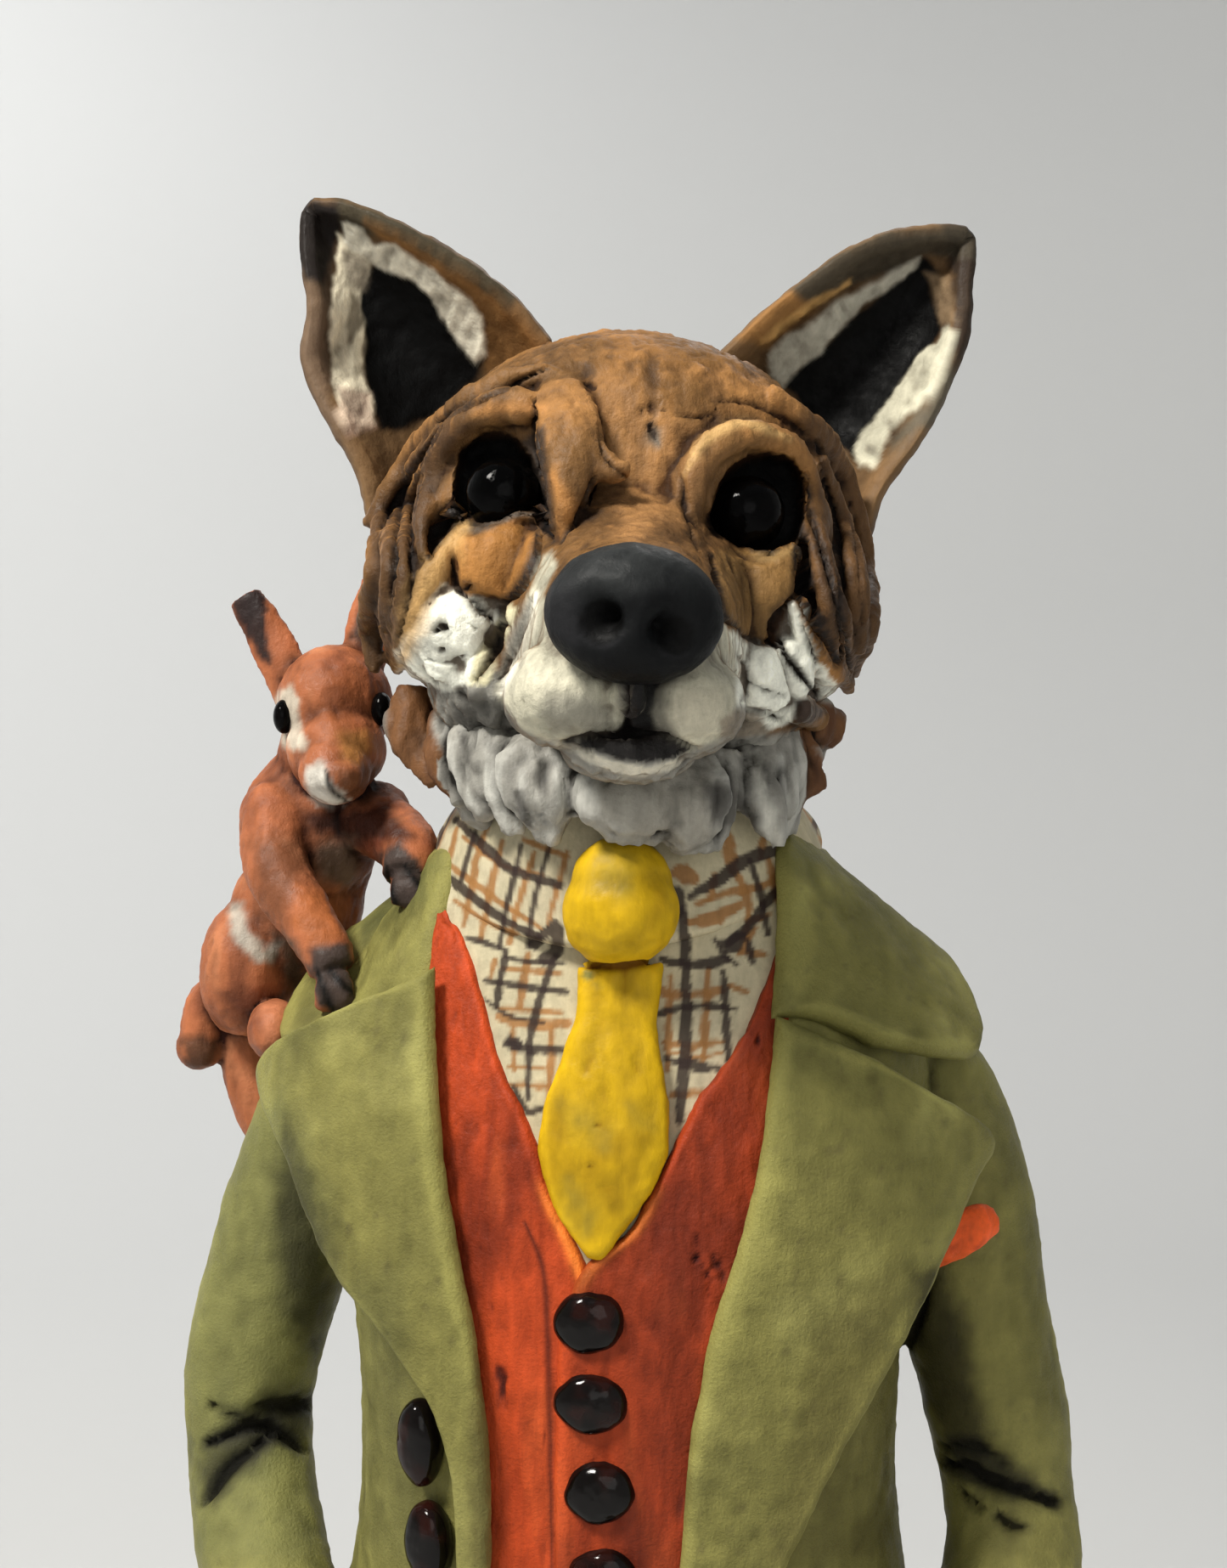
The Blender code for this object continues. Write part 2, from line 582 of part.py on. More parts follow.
def make_squirrel():
    ball("squirrel_skull", as_is, (-80, 14, 502), (16, 18, 16.5))
    ball("squirrel_face", as_is, (-78, 4, 489), (14, 13, 13))
    ball("squirrel_muzzle", as_is, (-78, -4, 484), (9.5, 10, 9), (20, 0, 0))
    ball("squirrel_nose", as_is, (-76.5, -13, 483), (4, 3, 3))
    for side, path in {
        "left": [(-93, 17, 508), (-100, 19, 521), (-107, 20, 533)],
        "right": [(-73, 17, 513), (-71, 19, 525), (-69, 20, 536)],
    }.items():
        strip(f"squirrel_ear_{side}", as_is, path, (11, 10, 6), (6, 6, 5), (0, -1, 0), count=10)
    ball("squirrel_eye_left", as_is, (-92, 4, 498), (3.6, 4, 4.8))
    ball("squirrel_eye_right", as_is, (-66, 4, 500), (3.6, 4, 4.8))
    ball("squirrel_chest", as_is, (-88.5, 22, 467), (21.5, 18, 24), (0, 8, 0))
    ball("squirrel_back", as_is, (-92, 30, 450), (19, 19, 25))
    arms = {
        "left": [(-93, 10, 466), (-92, 0, 448), (-86, -10, 437), (-80, -14, 431)],
        "right": [(-74, 10, 472), (-66, 0, 465), (-61, -8, 459), (-59, -14, 455)],
    }
    for side, path in arms.items():
        tube(f"squirrel_arm_{side}", as_is, path, (9, 8.5, 7.5, 6.5), 14)
        paw = np.array(path[-1], float)
        for finger in (-1, 0, 1):
            tip = paw + (finger * 4 + 1, -5, -11)
            tube(f"squirrel_finger_{side}_{finger + 1}", as_is, [paw, (paw + tip) / 2 + (0, -2.5, 0), tip],
                 (3.2, 2.8, 1.8), 6)
    ball("squirrel_thigh", as_is, (-105, 22, 430), (14, 17, 20), (0, 8, 0))
    ball("squirrel_foot", as_is, (-95, 6, 414), (7, 12, 8))
    tail = [(-94, 42, 440), (-100, 50, 416), (-108, 44, 398), (-119, 30, 400), (-119, 22, 411)]
    tube("squirrel_tail", as_is, tail, (9, 12, 12, 9, 6), 20)


# Fusing

def closed_copy(form, graph):
    """The form's evaluated mesh, with a curve's loose caps sewn to its sides."""
    mesh = bpy.data.meshes.new_from_object(form.evaluated_get(graph))
    work = bmesh.new()
    work.from_mesh(mesh)
    bmesh.ops.remove_doubles(work, verts=work.verts, dist=1e-6)
    bmesh.ops.recalc_face_normals(work, faces=work.faces)
    work.to_mesh(mesh)
    work.free()
    return mesh


def largest_shell(mesh):
    """Drops the small shells that the fusing leaves inside the clay."""
    work = bmesh.new()
    work.from_mesh(mesh)
    unseen, shells = set(work.verts), []
    while unseen:
        shell, edge = set(), [unseen.pop()]
        while edge:
            vertex = edge.pop()
            shell.add(vertex)
            for link in vertex.link_edges:
                other = link.other_vert(vertex)
                if other in unseen:
                    unseen.discard(other)
                    edge.append(other)
        shells.append(shell)
    keep = max(shells, key=len)
    bmesh.ops.delete(work, geom=[v for v in work.verts if v not in keep], context="VERTS")
    bmesh.ops.triangulate(work, faces=work.faces)
    work.to_mesh(mesh)
    work.free()


def fused_skin(name):
    """All forms as one skin, thinned to the wanted number of triangles."""
    graph = bpy.context.evaluated_depsgraph_get()
    work = bmesh.new()
    for form in forms:
        work.from_mesh(closed_copy(form, graph))
    mesh = bpy.data.meshes.new(name)
    work.to_mesh(mesh)
    work.free()
    lump = bpy.data.objects.new(name + "_lump", mesh)
    forms_collection.objects.link(lump)
    remesh = lump.modifiers.new("Skin", "REMESH")
    remesh.mode = "VOXEL"
    remesh.voxel_size = SKIN_VOXEL
    soften = lump.modifiers.new("Soften", "SMOOTH")
    soften.factor = 0.5
    soften.iterations = 1
    bpy.context.view_layer.update()
    skin = bpy.data.meshes.new_from_object(lump.evaluated_get(bpy.context.evaluated_depsgraph_get()))
    skin.name = name
    bpy.data.objects.remove(lump)
    largest_shell(skin)
    return skin


def make_base(target):
    """A low oval slab with a rounded edge."""
    bpy.ops.mesh.primitive_cylinder_add(vertices=48, radius=0.5, depth=BASE_THICKNESS)
    base = bpy.context.object
    base.name = "base_slab"
    base.data.transform(Matrix.Diagonal((BASE_WIDTH, BASE_DEPTH, 1, 1)))
    base.data.transform(Matrix.Translation((0, 0, BASE_THICKNESS / 2)))
    round_edge = base.modifiers.new("Round", "BEVEL")
    round_edge.width = BASE_EDGE_ROUND
    round_edge.segments = 2
    round_edge.limit_method = "ANGLE"
    for old in list(base.users_collection):
        old.objects.unlink(base)
    target.objects.link(base)
    base.hide_render = True
    base.display_type = "WIRE"
    return base


def ceramic():
    """Painted clay in the coat's green, the colour that shows most."""
    made = bpy.data.materials.new("painted_ceramic")
    made.use_nodes = True
    shader = made.node_tree.nodes["Principled BSDF"]
    shader.inputs["Base Color"].default_value = (0.25, 0.27, 0.10, 1)
    shader.inputs["Roughness"].default_value = 0.75
    shader.inputs["Metallic"].default_value = 0
    return made


clear_scene()
sculpture = collection("fox_sculpture")
forms_collection = collection("clay_forms", hidden=True)
crisp_collection = collection("glazed_forms", hidden=True)

make_head()
make_brows()
make_face_locks()
make_ears()
make_ruff()
make_body()
make_shirt_and_tie()
make_waistcoat()
make_coat()
make_lapels()
make_arms()
make_legs()
make_tail()
make_squirrel()
make_glazed_forms()

fox = bpy.data.objects.new("fox_figure", fused_skin("fox_figure"))
sculpture.objects.link(fox)
fox.data.materials.append(ceramic())
thin = fox.modifiers.new("Thin", "DECIMATE")
thin.ratio = min(1.0, SKIN_TRIANGLES / len(fox.data.polygons))
join = fox.modifiers.new("Base", "BOOLEAN")
join.operation = "UNION"
join.operand_type = "COLLECTION"
join.collection = crisp_collection
make_base(crisp_collection)
fox.data.shade_smooth()
fox.data.set_sharp_from_angle(angle=math.radians(40))
print("skin faces", len(fox.data.polygons))
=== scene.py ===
# %% [markdown]
# # A ceramic fox in a green coat, with a squirrel on its shoulder
#
# The real figure is built by hand from slabs, rolls and pinches of wet clay, fired, and painted with a brush.
# So it has three scales of detail: the big forms, the edges and folds that fingers and tools left, and the
# marks of the brush. This file makes them in that order, around the solid that the frame gives.
#
# Numbers in this file are millimetres of the figure, measured from the middle of the base's top, until the
# last step of each piece turns them into metres.

# %% Load the frame
import itertools
import math

import bpy
import numpy as np
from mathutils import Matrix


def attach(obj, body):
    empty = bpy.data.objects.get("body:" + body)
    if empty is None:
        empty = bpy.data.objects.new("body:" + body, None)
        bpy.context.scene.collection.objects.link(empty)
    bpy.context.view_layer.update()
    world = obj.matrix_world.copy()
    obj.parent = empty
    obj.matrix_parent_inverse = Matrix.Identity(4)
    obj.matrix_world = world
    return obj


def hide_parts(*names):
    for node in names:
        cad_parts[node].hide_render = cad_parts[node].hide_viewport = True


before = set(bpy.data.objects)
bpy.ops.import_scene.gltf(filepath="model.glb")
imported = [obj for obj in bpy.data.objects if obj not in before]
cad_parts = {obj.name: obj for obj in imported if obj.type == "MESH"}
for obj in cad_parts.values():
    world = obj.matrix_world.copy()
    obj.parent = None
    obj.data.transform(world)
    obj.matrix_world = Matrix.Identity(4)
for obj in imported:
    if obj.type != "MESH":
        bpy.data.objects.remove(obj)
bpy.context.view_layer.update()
BASE_THICKNESS = 20.0

# %% [markdown]
# ## Curves and places
#
# A maker bends a roll of clay through a few points with the fingers. A Catmull-Rom curve does the same: it
# goes through every point that it is given, so a form can be noted down as a short list.
#
# The front of the figure was measured on a flat picture, 1445 by 1846 units, from one place before it.
# `picture_of` gives the picture place of points on the figure, and `seen` goes back, once the depth is known.
# Both are fixed numbers of the figure and don't follow the camera, so the paint stays where it is put.

# %% Curves and places
BODY_TURN, HEAD_TILT = -8.0, 3.5
HEAD_CENTRE = np.array((0.0, -8.0, 540.0))
EYE_POINT = np.array((-4.0, -450.0, 480.0))
PICTURE_MIDDLE, PICTURE_REACH = (722.5, 923.0), 2000.0


def through(points, count):
    """Catmull-Rom: between b and c, half of (2b + (c-a)f + (2a-5b+4c-d)f^2 + (3b-a-3c+d)f^3)."""
    rows = np.asarray(points, float)
    rows = np.vstack([2 * rows[0] - rows[1], rows, 2 * rows[-1] - rows[-2]])
    t = np.linspace(0, len(rows) - 3 - 1e-9, count)
    i = t.astype(int)
    f = (t - i)[:, None]
    a, b, c, d = rows[i], rows[i + 1], rows[i + 2], rows[i + 3]
    return 0.5 * (2 * b + (c - a) * f + (2 * a - 5 * b + 4 * c - d) * f**2 + (3 * b - a - 3 * c + d) * f**3)


def turn(degrees, axis):
    """A rotation matrix about the x, y or z axis."""
    c, s = math.cos(math.radians(degrees)), math.sin(math.radians(degrees))
    return np.array({
        "x": ((1, 0, 0), (0, c, -s), (0, s, c)),
        "y": ((c, 0, s), (0, 1, 0), (-s, 0, c)),
        "z": ((c, -s, 0), (s, c, 0), (0, 0, 1)),
    }[axis])


def as_is(points):
    """The figure's own axes: nothing moves."""
    return np.asarray(points, float)


def on_body(points):
    """The body's axes: turned about the upright axis."""
    return np.asarray(points, float) @ turn(BODY_TURN, "z").T


def on_head(points):
    """The head's axes: tilted sideways, then lifted to the head's middle."""
    return np.asarray(points, float) @ turn(HEAD_TILT, "y").T + HEAD_CENTRE


def picture_of(points):
    """Picture place: the sideways and upright distance from the eye point over the depth, times the reach."""
    x, depth, z = points[..., 0] - EYE_POINT[0], points[..., 1] - EYE_POINT[1], points[..., 2] - EYE_POINT[2]
    return PICTURE_MIDDLE[0] + PICTURE_REACH * x / depth, PICTURE_MIDDLE[1] - PICTURE_REACH * z / depth


def seen(rows):
    """The figure's points at picture places: rows of across, down and depth y."""
    rows = np.asarray(rows, float)
    depth = (rows[:, 2] - EYE_POINT[1]) / PICTURE_REACH
    return np.stack([
        EYE_POINT[0] + (rows[:, 0] - PICTURE_MIDDLE[0]) * depth, rows[:, 2],
        EYE_POINT[2] - (rows[:, 1] - PICTURE_MIDDLE[1]) * depth,
    ], -1)


def mirrored(points, side):
    """Side 1 keeps the points, side -1 turns x round."""
    return np.asarray(points, float) * (side, 1, 1)


SIDES = {"right": 1, "left": -1}
print("the head's middle is at picture place", [round(float(v)) for v in picture_of(HEAD_CENTRE)])

# %% [markdown]
# ## Clay
#
# Every form here is a grid worked out as a whole array: rings along a path, closed at both ends, or a slab
# between two edges. Wet clay forms are pressed into each other until they are one skin. Blender's voxel
# Remesh does this: it fills space with small cells and draws one new skin round everything that is full.
# The skin then comes back as arrays, because relief is easier to add to arrays than with sculpting tools.

# %% A skin of clay as arrays


class Clay:
    """Points, faces of four corners and faces of three. Each vertex knows its neighbours by its edges."""

    def __init__(self, points, quads, tris=()):
        self.points = np.asarray(points, float)
        self.quads = np.asarray(quads, int).reshape(-1, 4)
        self.tris = np.asarray(tris, int).reshape(-1, 3)
        p = self.points
        corners = [p[self.quads[:, k]] for k in range(4)]
        volume = (np.cross(corners[2] - corners[0], corners[3] - corners[1]) * corners[0]).sum()
        a, b, c = (p[self.tris[:, k]] for k in range(3))
        if volume + (np.cross(b - a, c - a) * a).sum() < 0:
            self.quads, self.tris = self.quads[:, ::-1], self.tris[:, ::-1]
        self.start = np.concatenate([self.quads.ravel(), self.tris.ravel()])
        self.end = np.concatenate([np.roll(self.quads, -1, 1).ravel(), np.roll(self.tris, -1, 1).ravel()])
        self.links = np.maximum(np.bincount(self.start, minlength=len(p)), 1)

    def averaged(self, values):
        """The mean of each vertex's neighbours."""
        values = values.reshape(len(self.points), -1)
        sums = [np.bincount(self.start, column[self.end], len(values)) for column in values.T]
        return np.stack(sums, -1) / self.links[:, None]

    def smoothed(self, values, times, share=0.5):
        """Each value moves a share of the way to its neighbours' mean, over and over."""
        for _ in range(times):
            values = values + share * (self.averaged(values).reshape(values.shape) - values)
        return values

    def normals(self):
        """The sum of the directions of the faces round each vertex, at length 1."""
        p, q, t = self.points, self.quads, self.tris
        across = np.cross(p[q[:, 2]] - p[q[:, 0]], p[q[:, 3]] - p[q[:, 1]])
        small = np.cross(p[t[:, 1]] - p[t[:, 0]], p[t[:, 2]] - p[t[:, 0]])
        found = np.zeros_like(p)
        for axis in range(3):
            found[:, axis] = np.bincount(q.ravel(), np.repeat(across[:, axis], 4), len(p))
            found[:, axis] += np.bincount(t.ravel(), np.repeat(small[:, axis], 3), len(p))
        return found / np.maximum(np.linalg.norm(found, axis=1), 1e-9)[:, None]

    def hollow(self, times=24):
        """How deep each vertex lies below its smoothed surroundings, in mm: above 0 in a groove."""
        return ((self.smoothed(self.points, times, 0.9) - self.points) * self.normals()).sum(1)

    def push(self, amount):
        """Moves each vertex outwards by its own amount."""
        self.points = self.points + self.normals() * amount[:, None]

    def facing(self):
        """1 where the surface looks at the eye point, 0 where it looks away."""
        away = EYE_POINT - self.points
        away /= np.linalg.norm(away, axis=1)[:, None]
        return np.clip((self.normals() * away).sum(1) * 4, 0, 1)


corner = Clay([(0, 0, 0), (1, 0, 0), (0, 1, 0), (0, 0, 1)], [], [(0, 2, 1), (0, 1, 3), (1, 2, 3), (0, 3, 2)])
print("normal at the top of a test pyramid:", corner.normals()[3].round(2))

# %% Joining and fusing clays


def joined(forms):
    """Several forms as one list of points and faces."""
    shift = np.cumsum([0] + [len(f.points) for f in forms])
    return Clay(
        np.vstack([f.points for f in forms]),
        np.vstack([f.quads + s for f, s in zip(forms, shift)]),
        np.vstack([f.tris + s for f, s in zip(forms, shift)]),
    )


def largest_shell(points, quads):
    """Each vertex takes its neighbours' lowest number until none changes; the biggest group stays."""
    start, end = quads.ravel(), np.roll(quads, -1, 1).ravel()
    label = np.arange(len(points))
    while True:
        lower = label.copy()
        np.minimum.at(lower, start, label[end])
        np.minimum.at(lower, end, label[start])
        lower = lower[lower]
        if (lower == label).all():
            break
        label = lower
    keep = label == np.bincount(label).argmax()
    number = np.cumsum(keep) - 1
    return points[keep], number[quads[keep[quads[:, 0]]]]


def fuse(name, forms, voxel, soften=1):
    """One skin round all the forms, in cells of voxel mm, as a new Clay."""
    lot = joined(forms)
    mesh = bpy.data.meshes.new(name)
    mesh.from_pydata(lot.points.tolist(), [], lot.quads.tolist() + lot.tris.tolist())
    lump = bpy.data.objects.new(name, mesh)
    bpy.context.scene.collection.objects.link(lump)
    cells = lump.modifiers.new("Cells", "REMESH")
    cells.mode, cells.voxel_size = "VOXEL", voxel
    bpy.context.view_layer.update()
    skin = bpy.data.meshes.new_from_object(lump.evaluated_get(bpy.context.evaluated_depsgraph_get()))
    points = np.empty(len(skin.vertices) * 3)
    skin.vertices.foreach_get("co", points)
    corners = np.empty(len(skin.loops), int)
    skin.loops.foreach_get("vertex_index", corners)
    bpy.data.objects.remove(lump)
    clay = Clay(*largest_shell(points.reshape(-1, 3), corners.reshape(-1, 4)))
    clay.points = clay.smoothed(clay.points, soften)
    print(f"{name}: {len(forms)} forms fused into {len(clay.quads)} faces")
    return clay


# %% Forms: rings, balls and strips


def rings(rows):
    """Rings of equal count joined by quads, with a fan to the middle at each end."""
    count, around = rows.shape[:2]
    i = np.arange((count - 1) * around).reshape(count - 1, around)
    j = np.roll(i, -1, 1)
    quads = np.stack([i, j, j + around, i + around], -1).reshape(-1, 4)
    k = np.arange(around)
    n, last, middle = np.roll(k, -1), (count - 1) * around, np.full(around, count * around)
    fans = np.vstack([np.stack([n, k, middle], 1), np.stack([k + last, n + last, middle + 1], 1)])
    return Clay(np.vstack([rows.reshape(-1, 3), rows[0].mean(0), rows[-1].mean(0)]), quads, fans)


def oval(count, power=2.0):
    """A superellipse: cosine and sine, each to the power 2 / power with its sign kept."""
    angle = np.linspace(0, 2 * math.pi, count, endpoint=False)
    c, s = np.cos(angle), np.sin(angle)
    return np.sign(c) * np.abs(c) ** (2 / power), np.sign(s) * np.abs(s) ** (2 / power)


def ball(frame_of, centre, radii, tilt=(0, 0, 0), dents=(), around=48, up=30):
    """An ellipsoid: rings at each latitude. A dent is (place, radius, depth): a bell curve pushes it in."""
    latitude = np.linspace(0.02, math.pi - 0.02, up)[:, None]
    x, y = oval(around)
    unit = np.stack(np.broadcast_arrays(x * np.sin(latitude), y * np.sin(latitude), -np.cos(latitude)), -1)
    spin = turn(tilt[2], "z") @ turn(tilt[1], "y") @ turn(tilt[0], "x")
    points = (unit * radii) @ spin.T + centre
    for where, radius, depth in dents:
        pull = np.exp(-(np.linalg.norm(points - where, axis=-1) / radius) ** 2)[..., None]
        inwards = np.asarray(centre) - points
        points = points + inwards / np.linalg.norm(inwards, axis=-1)[..., None] * pull * depth
    return rings(frame_of(points))


def strip(frame_of, path, widths, thicknesses, facing, count=28, around=18):
    """Oval rings along a path: width across it, thickness along facing. With both equal it is a roll."""
    rows = through(np.column_stack([path, widths, thicknesses]), count)
    line, half = rows[:, :3], rows[:, 3:] / 2
    along = np.gradient(line, axis=0)
    along /= np.linalg.norm(along, axis=1)[:, None]
    side = np.cross(along, np.asarray(facing, float))
    side /= np.maximum(np.linalg.norm(side, axis=1), 1e-6)[:, None]
    out = np.cross(side, along)
    x, y = oval(around)
    return rings(frame_of(
        line[:, None] + side[:, None] * (x[None, :, None] * half[:, :1, None])
        + out[:, None] * (y[None, :, None] * half[:, 1:, None])
    ))


def tube(frame_of, path, radii, count=40, facing=None):
    """A round limb. Its rings are laid out from the axis that the path follows least."""
    path = np.asarray(path, float)
    if facing is None:
        facing = np.eye(3)[np.abs(np.diff(path, axis=0)).sum(0).argmin()]
    return strip(frame_of, path, np.multiply(radii, 2), np.multiply(radii, 2), facing, count, 32)


print("a test ball has", len(ball(as_is, (0, 0, 0), (1, 1, 1)).points), "points")

# %% Slabs


def slab(grid, thickness):
    """A rolled slab: the grid moved half a thickness each way along its normals, with rounded edges.

    Near an edge the thickness follows a quarter circle: the square root of 1 - (1 - distance / radius)^2."""
    rows, columns = grid.shape[:2]
    normal = np.cross(np.gradient(grid, axis=0), np.gradient(grid, axis=1))
    normal /= np.maximum(np.linalg.norm(normal, axis=-1), 1e-9)[..., None]
    step = [np.linalg.norm(np.gradient(grid, axis=a), axis=-1) for a in (0, 1)]
    edge = np.minimum(
        np.minimum(np.cumsum(step[0], 0) - step[0][:1], np.cumsum(step[0][::-1], 0)[::-1] - step[0][-1:]),
        np.minimum(np.cumsum(step[1], 1) - step[1][:, :1],
                   np.cumsum(step[1][:, ::-1], 1)[:, ::-1] - step[1][:, -1:]),
    )
    share = np.clip(edge / (np.asarray(thickness) / 2), 0, 1)
    half = (np.asarray(thickness) * np.maximum(np.sqrt(1 - (1 - share) ** 2), 0.12) / 2)[..., None]
    both = np.concatenate([grid + normal * half, (grid - normal * half)[:, ::-1]], 1)
    around = 2 * columns
    i = np.arange((rows - 1) * around).reshape(rows - 1, around)
    j = np.roll(i, -1, 1)
    k = np.arange(columns - 1)
    cap = np.stack([k + 1, k, around - 1 - k, around - 2 - k], 1)
    quads = np.vstack([
        np.stack([i, j, j + around, i + around], -1).reshape(-1, 4), cap, cap[:, ::-1] + (rows - 1) * around,
    ])
    return Clay(both.reshape(-1, 3), quads)


def between(first, second, across):
    """A grid ruled from one edge to the other."""
    share = np.linspace(0, 1, across)[None, :, None]
    return first[:, None] * (1 - share) + second[:, None] * share


print("a test slab has", len(slab(np.dstack(np.meshgrid([0, 9], [0, 9], [0])), 2.0).points), "points")

# %% [markdown]
# ## Roughness and tool marks
#
# Hand-smoothed clay is never even. `grain` is value noise: random numbers on a lattice, blended between its
# corners. Stretched along one axis it gives fur-like streaks. `stroke` is a mark along a line on the picture,
# strongest in its middle and thin at both ends; it cuts a groove, raises a ridge, or lays down paint.

# %% Noise and strokes


def grain(points, size, seed):
    """Value noise from -1 to 1. Size is the lattice's step in mm; the blend is 3f^2 - 2f^3."""
    lattice = np.random.default_rng(seed).uniform(-1, 1, (32, 32, 32))
    spot = points / np.asarray(size, float) + 512
    low = np.floor(spot).astype(int)
    f = spot - low
    f = f * f * (3 - 2 * f)
    total = np.zeros(len(points))
    for corner in itertools.product((0, 1), repeat=3):
        i = (low + corner) % 32
        total += lattice[i[:, 0], i[:, 1], i[:, 2]] * np.where(corner, f, 1 - f).prod(1)
    return total


def rough(points, size, seed, octaves=3):
    """Noise with finer noise on it, each half as large and half as strong."""
    return sum(grain(points, np.asarray(size, float) / 2**k, seed + k) / 2**k for k in range(octaves))


def step(values, low, high):
    """0 below low, 1 above high, and a smooth rise between."""
    t = np.clip((values - low) / (high - low), 0, 1)
    return t * t * (3 - 2 * t)


print("noise spread:", round(float(grain(np.random.default_rng(0).uniform(0, 90, (2000, 3)), 9, 1).std()), 3))

# %% Lines and outlines on the picture


def line_distance(places, path, count=16):
    """Distance to a smooth line on the picture, and how far along it the nearest point is, from 0 to 1."""
    u, v = places
    line = through(path, count)
    best, along = np.full(u.shape, 1e9), np.zeros(u.shape)
    for number, (a, b) in enumerate(zip(line[:-1], line[1:])):
        reach = b - a
        t = np.clip(((u - a[0]) * reach[0] + (v - a[1]) * reach[1]) / (reach @ reach + 1e-9), 0, 1)
        d = np.hypot(u - a[0] - t * reach[0], v - a[1] - t * reach[1])
        along = np.where(d < best, (number + t) / (count - 1), along)
        best = np.minimum(best, d)
    return best, along


def stroke(places, path, width):
    """A bell curve across the line, whose width follows the root of a sine along it."""
    distance, along = line_distance(places, path)
    wide = width * np.sin(math.pi * np.clip(along, 0.06, 0.94)) ** 0.5
    return np.exp(-(distance / wide) ** 2)


def inside(places, outline):
    """Distance to a closed outline on the picture, above 0 inside it (an even-odd count of crossings)."""
    u, v = places
    corners = np.asarray(outline, float)
    best, odd = np.full(u.shape, 1e9), np.zeros(u.shape, bool)
    for a, b in zip(corners, np.roll(corners, -1, 0)):
        reach = b - a
        t = np.clip(((u - a[0]) * reach[0] + (v - a[1]) * reach[1]) / (reach @ reach), 0, 1)
        best = np.minimum(best, np.hypot(u - a[0] - t * reach[0], v - a[1] - t * reach[1]))
        crosses = (a[1] > v) != (b[1] > v)
        odd ^= crosses & (u < a[0] + (v - a[1]) * reach[0] / (reach[1] if reach[1] else 1e-9))
    return np.where(odd, best, -best)


square = [(0, 0), (8, 0), (8, 8), (0, 8)]
print("the middle of a test square lies inside by", inside((np.array([4.0]), np.array([4.0])), square)[0])

# %% Colours


def srgb(*card):
    """A paint card's 0-255 numbers as linear light: ((c + 0.055) / 1.055) ^ 2.4."""
    return ((np.asarray(card, float) / 255 + 0.055) / 1.055) ** 2.4


def lay(colours, card, share):
    """Brushes a colour over the colours so far, where share is above 0."""
    return colours + (srgb(*card) - colours) * np.clip(share, 0, 1)[:, None]


def coated(clay, card):
    """One colour on every vertex."""
    return np.tile(srgb(*card), (len(clay.points), 1))


print("a white card in linear light:", srgb(255, 255, 255))

# %% [markdown]
# ## Painted clay
#
# The paint is matt to satin and lies thicker in some strokes than in others. The grooves are darker, partly
# from thin dark wash run into them and partly as painted shade, and the ridges lighter, partly rubbed and
# partly as painted highlight. The colour of each vertex and the depth of its groove come as attributes of the
# mesh; a shared node group adds what is finer than the mesh: mottling, brush streaks and the grain of the
# clay. A group keeps these alike on every piece, and each material gives its own strengths.

# %% The shared node group
MATERIALS = {}


def link(tree, source, target):
    """A wire from an output to an input."""
    tree.links.new(source, target)


